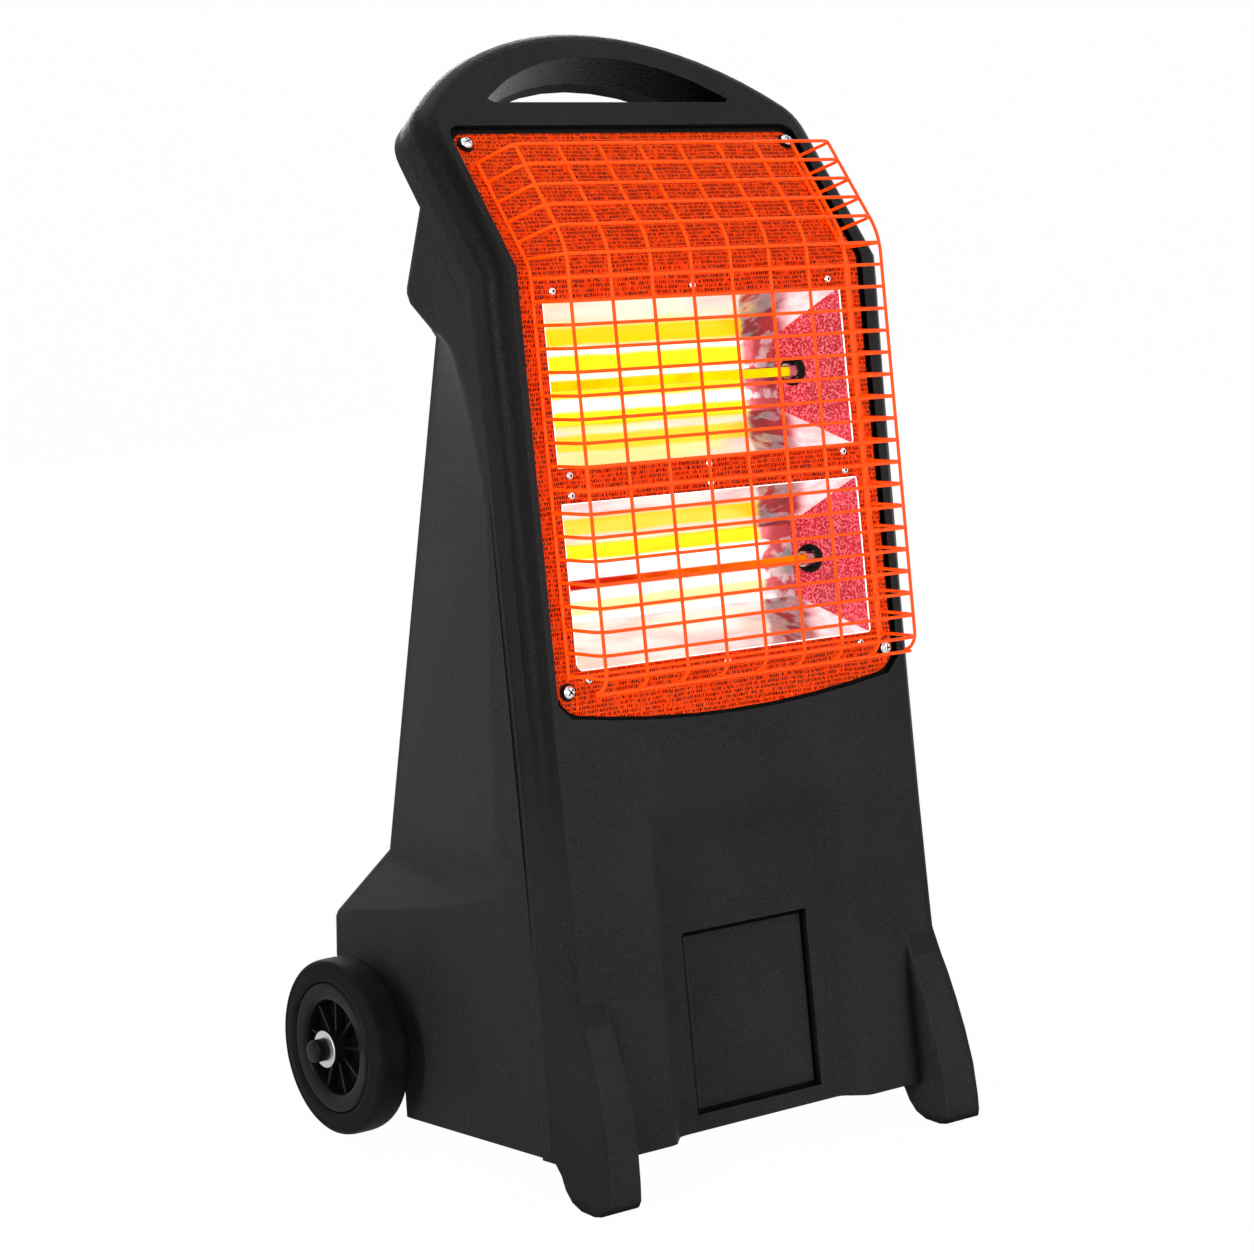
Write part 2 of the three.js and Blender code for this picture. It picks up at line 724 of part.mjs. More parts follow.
// A foot is a body of rings from side to side, with its outer edge rounded over like the shell's rim
function foot(side, inset) {
  const profile = footProfile(inset);
  const count = profile.length;
  const ring = (steps, step, outer) => profile.map((point, i) => {
    const before = profile[(i + count - 1) % count];
    const after = profile[(i + 1) % count];
    const reach = Math.hypot(after.y - before.y, after.z - before.z);
    const angle = Math.PI / 2 * step / steps;
    const round = outer ? point.round : Math.min(point.round, Math.max(footInnerRound - inset, footSideStep));
    const fall = round * (1 - Math.sin(angle)) / reach;
    const drop = -(point.z - kneeHeight) * Math.cos(lowerAngle) - point.y * Math.sin(lowerAngle);
    const wide = sideHalf(drop) - footSideStep - inset - (outer ? 0 : footWidth - 2 * inset);
    const x = wide + round * (1 - Math.cos(angle)) * (outer ? -1 : 1);
    return new THREE.Vector3(side * x, point.y - (after.z - before.z) * fall, point.z + (after.y - before.y) * fall);
  });
  const rings = [];
  for (let i = 0; i <= rimSteps; i += 1) rings.push(ring(rimSteps, i, true));
  for (let i = footInnerSteps; i >= 0; i -= 1) rings.push(ring(footInnerSteps, i, false));
  if (side > 0) rings.reverse();
  const index = [];
  for (let r = 0; r < rings.length - 1; r += 1) {
    for (let i = 0; i < count; i += 1) {
      const a = r * count + i;
      const b = r * count + (i + 1) % count;
      index.push(a, b, b + count, a, b + count, a + count);
    }
  }
  const last = (rings.length - 1) * count;
  const flat = (points) => THREE.ShapeUtils.triangulateShape(points.map((p) => new THREE.Vector2(p.y, p.z)), []);
  for (const [a, b, c] of flat(rings[0])) index.push(a, c, b);
  for (const [a, b, c] of flat(rings[rings.length - 1])) index.push(last + a, last + b, last + c);
  const geometry = new THREE.BufferGeometry().setFromPoints(rings.flat());
  geometry.setIndex(index);
  return solid(geometry);
}

function frontShell() {
  let outer = shellSlab(0, partingDepth, faceProud, rimRadius).subtract(frontRecess(0));
  outer = outer.intersect(aboveEdge(0)).add(foot(-1, 0)).add(foot(1, 0));
  let hollow = shellSlab(shellWall, partingDepth - shellWall, faceProud - shellWall, rimRadius - shellWall);
  hollow = hollow.intersect(aboveEdge(-edgeLap));
  hollow = hollow.subtract(frontRecess(shellWall));
  hollow = hollow.subtract(fasciaSlab(plateGap + shellWall, plateTopGap + shellWall, ledgeBack, overrun));
  hollow = hollow.subtract(handleOpening(shellWall, partingDepth - overrun * 2, overrun));
  const padHalf = pocketHalfWidth + shellWall;
  hollow = hollow.subtract(
    block(-padHalf, padHalf, pocketBottom - shellWall, pocketTop + shellWall, pocketBack, overrun, lowerFrame));
  for (const spot of screwSpots) {
    hollow = hollow.subtract(rod(bossRadius, spot.x, spot.y, ledgeBack - bossLength, overrun, spot.frame));
  }
  for (const side of [-1, 1]) {
    hollow = hollow.subtract(rod(bossRadius, side * caseScrewOffset, caseScrewRise, partingDepth, overrun, upperFrame));
    hollow = hollow.add(foot(side, shellWall));
  }
  let shell = outer.subtract(hollow);
  shell = shell.subtract(fasciaSlab(plateGap, plateTopGap, seat, overrun));
  shell = shell.subtract(foldedSlab(strip(-ledgeHalfWidth, ledgeHalfWidth, -ledgeBottom, ledgeTop),
    levelsOf(0, ledgeBack - shellWall, 0, 0)));
  shell = shell.subtract(handleOpening(0, partingDepth - overrun, overrun));
  shell = shell.subtract(
    block(-pocketHalfWidth, pocketHalfWidth, pocketBottom, pocketTop, ledgeFront, overrun, lowerFrame));
  shell = shell.subtract(block(-pocketHalfWidth, pocketHalfWidth - doorLedge, pocketBottom + doorLedge,
    pocketTop - doorLedge, pocketBack - overrun, 0, lowerFrame));
  shell = shell.subtract(block(-pocketHalfWidth, hingeX + barrelRadius + 2 * gap, pocketBottom, pocketTop,
    pocketBack - overrun, 0, lowerFrame));
  shell = shell.subtract(pinHole());
  for (const spot of screwSpots) {
    shell = shell.subtract(rod(boreRadius, spot.x, spot.y, ledgeBack - overrun, 0, spot.frame));
  }
  for (const side of [-1, 1]) {
    shell = shell.subtract(rod(caseBoreRadius, side * caseScrewOffset, caseScrewRise,
      partingDepth - overrun, partingDepth + caseScrewReach, upperFrame));
  }
  return shell;
}

// Hatch door, with a barrel along its hinge edge, and the pin through it
const doorHalf = pocketHalfWidth - doorGap;
const hingeX = -pocketHalfWidth + doorGap + barrelRadius / 2;
const hingeOut = (doorFace + doorBack) / 2;
const alongSheet = new THREE.Matrix4().makeRotationX(-Math.PI / 2);

function sheetRod(radius, x, out, from, to, steps) {
  const geometry = new THREE.CylinderGeometry(radius, radius, to - from, steps);
  geometry.translate(x, (from + to) / 2, out).applyMatrix4(lowerFrame);
  return solid(geometry);
}

function pinHole() {
  return sheetRod(pinBore, hingeX, hingeOut, pocketBottom - shellWall + gap, pocketTop + shellWall - gap, arcSteps * 2);
}

function hatchDoor() {
  const bottom = pocketBottom + doorGap;
  const top = pocketTop - doorGap;
  let door = block(hingeX, doorHalf, bottom, top, doorBack, doorFace, lowerFrame);
  door = door.add(sheetRod(barrelRadius, hingeX, hingeOut, bottom, top, arcSteps * 2));
  return door.subtract(sheetRod(pinBore, hingeX, hingeOut, bottom - overrun, top + overrun, arcSteps * 2));
}

function hatchPin() {
  return sheetRod(pinRadius, hingeX, hingeOut, pocketBottom - shellWall + 2 * gap,
    pocketTop + shellWall - 2 * gap, arcSteps * 2);
}

// Rear shell, as sections from the floor up. The side runs back to the crest, and from there a wall
// runs to the rounded back corner.
function rearSection(height, half, back, crest, inset) {
  const front = depthAt(inset > 0 ? partingDepth : -loftRoot, height);
  const corner = new THREE.Vector2(rearHalfWidth - inset, Math.max(crest - inset, front + 2 * crestLap));
  const rear = back - inset;
  const radius = Math.min(backRadius, (rear - corner.y) / 2);
  const wall = new THREE.Vector2(half - inset, rear - radius);
  const run = corner.distanceTo(wall);
  const soft = Math.min(crestRadius, (corner.y - front) / 2, run / 3);
  const before = new THREE.Vector2(corner.x, corner.y - soft);
  const crown = new THREE.QuadraticBezierCurve(before, corner, corner.clone().lerp(wall, soft / run));
  const edge = [new THREE.Vector2(corner.x, front), ...crown.getPoints(crestSoftSteps),
    ...arc(wall.x - radius, wall.y, radius, 0, Math.PI / 2, backSteps)];
  const left = edge.map(({ x, y }) => new THREE.Vector3(-x, y, height)).reverse();
  return [...edge.map(({ x, y }) => new THREE.Vector3(x, y, height)), ...left];
}

function rearLoft(inset) {
  const mix = (a, b, share) => a + (b - a) * share;
  const columnBack = (height) => mix(columnFootDepth, neckDepth,
    (height - columnFootHeight) / (neckHeight - columnFootHeight));
  const section = (height, half, back, crest) => rearSection(height, half, back, crest, inset);
  const lobe = (height, trim = 0) => {
    const depth = mix(lobeLowDepth, lobeUpperDepth, (height - lobeLowHeight) / (lobeUpperHeight - lobeLowHeight)) - trim;
    return section(height, lobeHalfWidth - trim, depth, depth - lobeEdge);
  };
  const neck = (height) => {
    const share = Math.min(1, (lobeLowHeight - height) / (lobeLowHeight - neckHeight));
    return [mix(lobeHalfWidth, columnHalfWidth, share),
      height > neckHeight ? mix(lobeLowDepth, neckDepth, share) : columnBack(height)];
  };
  const cabinet = (height, trim = 0) => section(height, rearHalfWidth - trim, cabinetDepth - trim,
    cabinetDepth - trim - backRadius - bendSoft);
  const rings = [lobe(lobeTopHeight - inset / Math.cos(upperAngle - Math.PI / 4) * 2), lobe(lobeUpperHeight),
    lobe(lobeLowHeight + bendSoft), lobe(lobeLowHeight, bendTrim)];
  for (const [rise, reach] of [...crestShares].reverse()) {
    const height = mix(crestHeight, lobeLowHeight, rise);
    const [half, back] = neck(height);
    rings.push(section(height, half, back, mix(depthAt(-loftRoot, height), back, reach)));
  }
  rings.push(section(crestHeight, columnHalfWidth, columnBack(crestHeight), 0));
  rings.push(section(scoopHeight, columnHalfWidth, columnBack(scoopHeight), 0));
  for (const [fall, reach] of scoopShares) {
    const height = mix(scoopHeight, cabinetTopHeight, fall);
    const flare = Math.max(0, (columnFootHeight - height) / (columnFootHeight - cabinetTopHeight));
    const half = mix(columnHalfWidth, rearHalfWidth, flare);
    const back = flare > 0 ? mix(columnFootDepth, cabinetDepth, flare) : columnBack(height);
    rings.push(section(height, half, back, mix(depthAt(-loftRoot, height), back, reach)));
  }
  rings.push(cabinet(cabinetTopHeight, bendTrim), cabinet(cabinetTopHeight - bendSoft), cabinet(0));
  return loft(rings.reverse());
}

function wheelBay(side, inset) {
  const reach = cabinetDepth - bayFront + overrun;
  const profile = bayProfileShares.map(([back, rise]) => new THREE.Vector2(
    bayFront - inset + (cabinetDepth - bayFront) * back, bayHeight * rise + inset));
  const points = [new THREE.Vector2(bayFront - inset + reach, -overrun), new THREE.Vector2(bayFront - inset + reach,
    bayHeight + inset), ...profile.reverse(), new THREE.Vector2(bayFront - inset, -overrun)];
  const inner = bayHalfWidth - inset;
  const from = side < 0 ? -rearHalfWidth - overrun : inner;
  return slab(points, from, from + rearHalfWidth + overrun - inner, sideFrame);
}

function rearShell() {
  let outer = shellSlab(0, bandBack, partingDepth - gap, 0).add(rearLoft(0));
  outer = outer.intersect(aboveEdge(0)).subtract(wheelBay(-1, 0)).subtract(wheelBay(1, 0));
  let hollow = shellSlab(shellWall, bandBack + shellWall, partingDepth, 0).add(rearLoft(shellWall));
  hollow = hollow.subtract(wheelBay(-1, shellWall)).subtract(wheelBay(1, shellWall));
  hollow = hollow.subtract(block(-bigHalf, bigHalf, bayFront - shellWall, shellDrop, -overrun, rearEdgeHeight + shellWall));
  hollow = hollow.subtract(handleOpening(shellWall, bandBack - overrun, overrun));
  for (const side of [-1, 1]) {
    hollow = hollow.subtract(rod(bossRadius, side * caseScrewOffset, caseScrewRise,
      bandBack, partingDepth - gap, upperFrame));
  }
  let shell = outer.subtract(hollow).subtract(handleOpening(0, bandBack - overrun, overrun));
  for (const side of [-1, 1]) {
    shell = shell.subtract(rod(caseBoreRadius, side * caseScrewOffset, caseScrewRise,
      bandBack - overrun, overrun, upperFrame));
    shell = shell.subtract(crossRod(bushRadius + gap, side < 0 ? -bayHalfWidth - overrun : bayHalfWidth - bushDepth * 2,
      side < 0 ? bushDepth * 2 - bayHalfWidth : bayHalfWidth + overrun, wheelDepth, wheelRadius));
  }
  shell = shell.subtract(block(-switchWindow / 2, switchWindow / 2, -housingHeight / 2 - gap * 2,
    housingHeight / 2 + gap * 2, -overrun / 2, overrun, switchFrame));
  const glandHole = rod(glandThreadRadius + gap, 0, 0, -overrun / 2, overrun, glandFrame);
  return shell.subtract(glandHole);
}

// Frames on the back of the heater: X runs to the left, Z points out of the wall
const lobeLean = Math.atan2(lobeLowDepth - lobeUpperDepth, lobeUpperHeight - lobeLowHeight);
const switchFrame = new THREE.Matrix4().makeBasis(
  new THREE.Vector3(-1, 0, 0),
  new THREE.Vector3(0, -Math.sin(lobeLean), Math.cos(lobeLean)),
  new THREE.Vector3(0, Math.cos(lobeLean), Math.sin(lobeLean)),
).setPosition(0, (lobeUpperDepth + lobeLowDepth) / 2, (lobeUpperHeight + lobeLowHeight) / 2);
const glandFrame = new THREE.Matrix4().makeBasis(
  new THREE.Vector3(-1, 0, 0), new THREE.Vector3(0, 0, 1), new THREE.Vector3(0, 1, 0),
).setPosition(glandOffset, cabinetDepth, glandHeight);
const switchWindow = switchPitch + housingWidth + 4 * gap;

place('front_shell', frontShell(), colours.blackPlastic, heater);
place('rear_shell', rearShell(), colours.blackPlastic, heater);
place('hatch_door', hatchDoor(), colours.blackPlastic, heater);
place('hatch_pin', hatchPin(), colours.steel, heater);

// Fascia plate
function openingCut(top) {
  return block(-openingHalfWidth, openingHalfWidth, -top - openingHeight, -top, -overrun, overrun, lowerFrame);
}

function fasciaPlate() {
  let plate = fasciaSlab(0, 0, -plateThickness, 0);
  plate = plate.subtract(openingCut(upperOpeningTop)).subtract(openingCut(lowerOpeningTop));
  for (const spot of screwSpots) {
    plate = plate.subtract(rod(boreRadius, spot.x, spot.y, -overrun, overrun, spot.frame));
  }
  return plate;
}
place('fascia_plate', fasciaPlate(), colours.orangeSheet, heater);

// Fascia screws and the black washers under them
function screwBody(headRadius, headHeight, shankRadius, length, seatHeight) {
  const dome = screwDomeShares.map(([across, up]) => [headRadius * across, seatHeight + headHeight * up]);
  const profile = [[0, seatHeight - length], [shankRadius, seatHeight - length], [shankRadius, seatHeight], ...dome];
  const points = profile.map(([radius, height]) => new THREE.Vector2(radius, height));
  const geometry = new THREE.LatheGeometry(points, roundSteps / 2);
  geometry.rotateX(Math.PI / 2);
  return solid(geometry);
}

for (const spot of screwSpots) {
  const group = frameGroup(spot.frame, heater);
  const washer = turned([[boreRadius, gap], [washerRadius, gap], [washerRadius, gap + washerThickness],
    [boreRadius, gap + washerThickness]], roundSteps / 2);
  const washerMesh = place(`fascia_washer_${spot.name}`, washer, colours.rubber, group);
  washerMesh.position.set(spot.x, spot.y, 0);
  const body = screwBody(screwHeadRadius, screwHeadHeight, screwShankRadius, screwLength, washerThickness + 2 * gap);
  const screw = place(`fascia_screw_${spot.name}`, body, colours.chrome, group);
  screw.position.set(spot.x, spot.y, 0);
}

// Shell screws go in from behind
for (const side of [-1, 1]) {
  const group = frameGroup(upperFrame, heater);
  const body = screwBody(caseHeadRadius, caseHeadHeight, caseScrewRadius, caseScrewReach + bandDepth - gap, gap);
  const screw = place(`case_screw_${side < 0 ? 'left' : 'right'}`, body, colours.steel, group);
  screw.rotation.x = Math.PI;
  screw.position.set(side * caseScrewOffset, caseScrewRise, bandBack);
}

// Wire guard: rows that bend back to a frame on the fascia, and columns behind them
function bar(x0, x1, y, out, thick) {
  return block(x0, x1, y - thick / 2, y + thick / 2, out - thick / 2, out + thick / 2);
}

function guardRow(y) {
  const half = guardHalfWidth + guardTip + wire / 2;
  const front = guardHeight + 3 * wire / 2 - wireBite;
  const points = [[-half, gap + wireBite], [wire - half, gap + wireBite], [wire - half, front - wire],
    [half - wire, front - wire], [half - wire, gap + wireBite], [half, gap + wireBite], [half, front], [-half, front]];
  const frame = new THREE.Matrix4().makeRotationX(Math.PI / 2).setPosition(0, y + wire / 2, 0);
  return slab(points.map(([x, out]) => new THREE.Vector2(x, out)), 0, wire, frame);
}

function guardColumn(x, from, to, out) {
  const outline = strip(x - wire / 2, x + wire / 2, from, to);
  return foldedSlab(outline, levelsOf(0, out - wire / 2, out + wire / 2, 0));
}

// The columns curve back at the bottom to a last row
function guardCurl(x) {
  const centre = new THREE.Vector2(guardCurlStart, guardHeight - guardCurlRadius);
  const outer = arc(centre.x, centre.y, guardCurlRadius + wire / 2, Math.PI / 2, Math.PI, arcSteps);
  const inner = arc(centre.x, centre.y, guardCurlRadius - wire / 2, Math.PI / 2, Math.PI, arcSteps);
  const points = [...outer.slice(0, -1), ...inner.slice(0, -1).reverse()];
  points.unshift(new THREE.Vector2(centre.x + wire / 2, guardHeight + wire / 2));
  points.push(new THREE.Vector2(centre.x + wire / 2, guardHeight - wire / 2));
  const frame = sideFrame.clone().setPosition(x - wire / 2, 0, 0);
  return slab(points, 0, wire, frame);
}

function turnedInto(body, frame) {
  return solid(geometryOf(body).applyMatrix4(frame));
}

function wireGuard() {
  const columnGap = 2 * guardHalfWidth / (guardColumns - 1);
  const base = gap + wire / 2;
  const baseHalf = guardHalfWidth + guardTip;
  const columns = [];
  const upper = [];
  const lower = [];
  for (let i = 0; i < guardColumns; i += 1) {
    const x = -guardHalfWidth + i * columnGap;
    columns.push(guardColumn(x, guardCurlStart, guardTop + wire / 2, guardHeight));
    lower.push(guardCurl(x));
  }
  for (const side of [-1, 1]) {
    columns.push(guardColumn(side * baseHalf, -guardFoot - wire / 2, guardBaseTop, base));
  }
  for (let i = 0; i < upperRows; i += 1) upper.push(guardRow(guardTop - i * upperRowPitch));
  for (let i = 0; i <= lowerRows; i += 1) lower.push(guardRow(guardKneeRow - i * lowerRowPitch));
  lower.push(bar(-baseHalf, baseHalf, -guardFoot, base, wire));
  const lastTurn = Math.PI / 2 * (arcSteps - 1) / arcSteps;
  const lastReach = guardCurlRadius + wire - wireBite;
  lower.push(bar(-baseHalf, baseHalf, guardCurlStart - lastReach * Math.sin(lastTurn),
    guardHeight - guardCurlRadius + lastReach * Math.cos(lastTurn), wire));
  const join = (bodies) => bodies.reduce((sum, body) => sum.add(body));
  const rows = turnedInto(join(upper), upperFrame).add(turnedInto(join(lower), lowerFrame));
  return join(columns).add(rows);
}
place('wire_guard', wireGuard(), colours.orangeWire, heater);

// Reflectors, lamps and what holds them, one set for each opening
const sheetSeat = seat;
function reflectorFunnel(grow, endTrim, rise = 0) {
  const front = openingHeight / 2 + grow + rise;
  const back = reflectorBackRise + grow + rise;
  return loft([
    rectangle(reflectorBackHalf + grow - endTrim, -back, back, -reflectorDepth - grow),
    rectangle(openingHalfWidth + grow - endTrim, -front, front, sheetSeat + (grow > 0 ? 0 : gap)),
  ]);
}

function reflectorTrough() {
  let walls = reflectorFunnel(sheet, 0).subtract(reflectorFunnel(0, 0));
  walls = walls.intersect(reflectorFunnel(0, gap, overrun).add(
    block(-reflectorBackHalf + gap, reflectorBackHalf - gap, -overrun * 2, overrun * 2, -reflectorDepth - 2 * sheet,
      sheet - reflectorDepth)));
  const flangeTop = openingHeight / 2 + flangeRise;
  const flange = block(-openingHalfWidth - flangeSide, openingHalfWidth + flangeSide, -flangeTop, flangeTop,
    sheetSeat - sheet, sheetSeat);
  const mouth = block(-openingHalfWidth, openingHalfWidth, -openingHeight / 2, openingHeight / 2, -overrun, overrun);
  return walls.add(flange.subtract(mouth));
}

function reflectorEnd(side) {
  let wall = reflectorFunnel(sheet, 0).subtract(reflectorFunnel(0, 0, overrun));
  const from = side < 0 ? -bigHalf : reflectorBackHalf;
  const to = from + bigHalf - reflectorBackHalf;
  wall = wall.intersect(block(from, to, -bigHalf, bigHalf, -reflectorDepth - sheet, sheetSeat - sheet - gap));
  return wall.subtract(crossRod(lampHoleRadius, from, to, 0, -lampDepth, undefined, roundSteps / 2));
}

function tube(outer, inner, from, to, steps = roundSteps / 2) {
  return crossRod(outer, from, to, 0, -lampDepth, undefined, steps)
    .subtract(crossRod(inner, from - overrun, to + overrun, 0, -lampDepth, undefined, steps));
}

function lampCap(side) {
  const reach = (a, b) => (side < 0 ? [-b, -a] : [a, b]);
  const [from, to] = reach(capInner, capOuter);
  const socket = reach(capInner - overrun, tubeHalfLength + gap);
  return crossRod(capRadius, from, to, 0, -lampDepth, undefined, roundSteps / 2)
    .subtract(crossRod(tubeRadius + gap, socket[0], socket[1], 0, -lampDepth, undefined, roundSteps / 2));
}

function lampHolder(side) {
  const from = side < 0 ? -holderOuter : holderInner;
  const back = shieldSheet - shieldDepth + gap;
  const body = block(from, from + holderOuter - holderInner, -holderWidth / 2, holderWidth / 2, back,
    -lampDepth + holderRise);
  return body.subtract(crossRod(capRadius + gap, from - overrun, from + overrun, 0, -lampDepth, undefined,
    roundSteps / 2));
}

for (const [level, top] of [['upper', upperOpeningTop], ['lower', lowerOpeningTop]]) {
  const sheetGroup = frameGroup(lowerFrame, heater);
  const group = new THREE.Group();
  group.position.y = -top - openingHeight / 2;
  sheetGroup.add(group);
  place(`reflector_${level}`, reflectorTrough(), colours.brightSheet, group);
  place(`lamp_tube_${level}`, tube(tubeRadius, tubeBore, -tubeHalfLength, tubeHalfLength), colours.quartz, group);
  const filament = crossRod(filamentRadius, -tubeHalfLength, tubeHalfLength, 0, -lampDepth, undefined, arcSteps + 1);
  place(`lamp_filament_${level}`, filament, colours.glowing, group);
  for (const [hand, side] of [['left', -1], ['right', 1]]) {
    place(`reflector_end_${level}_${hand}`, reflectorEnd(side), colours.hammeredSheet, group);
    place(`lamp_cap_${level}_${hand}`, lampCap(side), colours.ceramic, group);
    place(`lamp_holder_${level}_${hand}`, lampHolder(side), colours.steel, group);
  }
}

// Heat shield: a tray behind the reflectors, with slots near its top
function heatShield() {
  const back = -shieldDepth;
  const front = ledgeBack - gap;
  const box = block(-shieldHalfWidth, shieldHalfWidth, -shieldBottom, -shieldTop, back, front);
  const inner = block(shieldSheet - shieldHalfWidth, shieldHalfWidth - shieldSheet, shieldSheet - shieldBottom,
    -shieldTop - shieldSheet, back + shieldSheet, front + overrun);
  const rim = block(-shieldHalfWidth - shieldFlange, shieldHalfWidth + shieldFlange, -shieldBottom, -shieldTop,
    front - shieldSheet, front);
  let tray = box.add(rim).subtract(inner);
  for (let i = 0; i < slotCount; i += 1) {
    const y = -shieldTop - slotPitch * (i + 1);
    for (const x of [-slotLength, slotLength]) {
      tray = tray.subtract(block(x - slotLength / 2, x + slotLength / 2, y - slotHeight / 2, y + slotHeight / 2,
        back - shieldSheet, back + 2 * shieldSheet));
    }
  }
  return tray;
}
const shieldGroup = frameGroup(lowerFrame, heater);
place('heat_shield', heatShield(), colours.steel, shieldGroup);

function thermalCutout() {
  const tab = block(-cutoutTabWidth / 2, cutoutTabWidth / 2, cutoutRadius - sink, cutoutRadius + cutoutTabLength,
    -cutoutHeight / 2, cutoutTabThickness - cutoutHeight / 2);
  const mirrored = block(-cutoutTabWidth / 2, cutoutTabWidth / 2, -cutoutRadius - cutoutTabLength, sink - cutoutRadius,
    -cutoutHeight / 2, cutoutTabThickness - cutoutHeight / 2);
  return rod(cutoutRadius, 0, 0, -cutoutHeight, 0).add(tab).add(mirrored);
}
const cutout = place('thermal_cutout', thermalCutout(), colours.ceramic, shieldGroup);
cutout.position.set(0, -(upperOpeningTop + openingHeight + lowerOpeningTop) / 2, -shieldDepth - gap);

// Axle, bushes, wheels, washers and caps
const axleEnd = wheelInner + wheelWidth + hubProud + 2 * gap + hubWasherThickness;
const axleGroup = new THREE.Group();
axleGroup.position.set(0, wheelDepth, wheelRadius);
heater.add(axleGroup);
place('axle', crossRod(axleRadius, -axleEnd - capNutLength / 2, axleEnd + capNutLength / 2, 0, 0), colours.steel, axleGroup);

const tyreProfile = [[tyreInnerRadius, 0], [tyreInnerRadius + tyreShoulder / 2, 0],
  [wheelRadius - tyreShoulder / 2, tyreShoulder / 4], [wheelRadius, tyreShoulder],
  [wheelRadius, wheelWidth - tyreShoulder], [wheelRadius - tyreShoulder / 2, wheelWidth - tyreShoulder / 4],
  [tyreInnerRadius + tyreShoulder / 2, wheelWidth], [tyreInnerRadius, wheelWidth]];

function wheelRim() {
  const bore = axleRadius + axleClearance;
  const outer = tyreInnerRadius - gap;
  const face = wheelWidth - rimFaceInset;
  const web = wheelWidth / 2 - webThickness / 2;
  const ring = turned([[rimDishRadius, rimFaceInset], [outer, rimFaceInset], [outer, face], [rimDishRadius, face]],
    wheelSteps);
  const disc = turned([[bore, web], [rimDishRadius + sink, web], [rimDishRadius + sink, web + webThickness],
    [bore, web + webThickness]], wheelSteps);
  const hub = turned([[bore, 0], [hubRadius, 0], [hubRadius, wheelWidth + hubProud], [bore, wheelWidth + hubProud]]);
  let rim = ring.add(disc).add(hub);
  for (let i = 0; i < ribCount; i += 1) {
    const turn = new THREE.Matrix4().makeRotationZ(2 * Math.PI * i / ribCount);
    rim = rim.add(block(hubRadius - sink, rimDishRadius + sink, -ribThickness / 2, ribThickness / 2,
      web + webThickness - sink, web + webThickness + ribDepth, turn));
  }
  return rim;
}

for (const [hand, side] of [['left', -1], ['right', 1]]) {
  const group = new THREE.Group();
  group.rotation.y = side * Math.PI / 2;
  group.position.x = side * wheelInner;
  axleGroup.add(group);
  place(`tyre_${hand}`, turned(tyreProfile, wheelSteps), colours.rubber, group);
  place(`wheel_rim_${hand}`, wheelRim(), colours.blackGloss, group);
  const washerBack = wheelWidth + hubProud + gap;
  const washer = turned([[axleRadius + gap, washerBack], [hubWasherRadius, washerBack],
    [hubWasherRadius, washerBack + hubWasherThickness], [axleRadius + gap, washerBack + hubWasherThickness]]);
  place(`hub_washer_${hand}`, washer, colours.chrome, group);
  const capBack = washerBack + hubWasherThickness + gap;
  const capFront = capBack + capNutLength;
  const cap = turned([[0, capFront], [0, capFront - capNutSkin], [axleRadius + gap, capFront - capNutSkin],
    [axleRadius + gap, capBack], [capNutRadius, capBack], [capNutRadius, capFront - capNutChamfer],
    [capNutRadius - capNutChamfer, capFront]]);
  place(`axle_cap_${hand}`, cap, colours.blackGloss, group);
  const bushBack = bayHalfWidth + gap - wheelInner;
  const bush = turned([[axleRadius + gap, bushBack - bushDepth], [bushRadius, bushBack - bushDepth],
    [bushRadius, bushBack], [bushFlangeRadius, bushBack], [bushFlangeRadius, bushBack + bushFlange],
    [axleRadius + gap, bushBack + bushFlange]]);
  place(`axle_bush_${hand}`, bush, colours.blackGloss, group);
}

// Switches
const switchGroup = frameGroup(switchFrame, heater);
function switchPlate() {
  let plate = block(-switchPlateWidth / 2, switchPlateWidth / 2, -switchPlateHeight / 2, switchPlateHeight / 2,
    gap, gap + switchPlateThickness);
  for (const side of [-1, 1]) {
    const x = side * switchPitch / 2;
    plate = plate.subtract(block(x - housingWidth / 2 - gap, x + housingWidth / 2 + gap, -housingHeight / 2 - gap,
      housingHeight / 2 + gap, -overrun, overrun));
  }
  return plate;
}
place('switch_plate', switchPlate(), colours.blackGloss, switchGroup);

const bezelSeat = switchPlateThickness + 2 * gap;
function switchHousing() {
  const bezel = block(-bezelWidth / 2, bezelWidth / 2, -bezelHeight / 2, bezelHeight / 2, bezelSeat,
    bezelSeat + bezelThickness);
  const box = block(-housingWidth / 2, housingWidth / 2, -housingHeight / 2, housingHeight / 2,
    bezelSeat - housingDepth, bezelSeat + bezelThickness);
  const halfX = rockerWidth / 2 + cavityClearance;
  const halfY = rockerHeight / 2 + cavityClearance;
  const swing = rockerHeight / 2 * Math.sin(THREE.MathUtils.degToRad(rockerThrow));
  const cavity = block(-halfX, halfX, -halfY, halfY, bezelSeat - rockerDepth - swing - cavityClearance, overrun);
  return bezel.add(box).subtract(cavity);
}

function rockerBody() {
  const half = rockerHeight / 2;
  const points = [[-half, -rockerDepth / 2], [half, -rockerDepth / 2], [half, rockerProud + rockerHollow],
    [0, rockerProud], [-half, rockerProud + rockerHollow]].map(([y, z]) => new THREE.Vector2(y, z));
  return slab(points, -rockerWidth / 2, rockerWidth / 2, sideFrame);
}

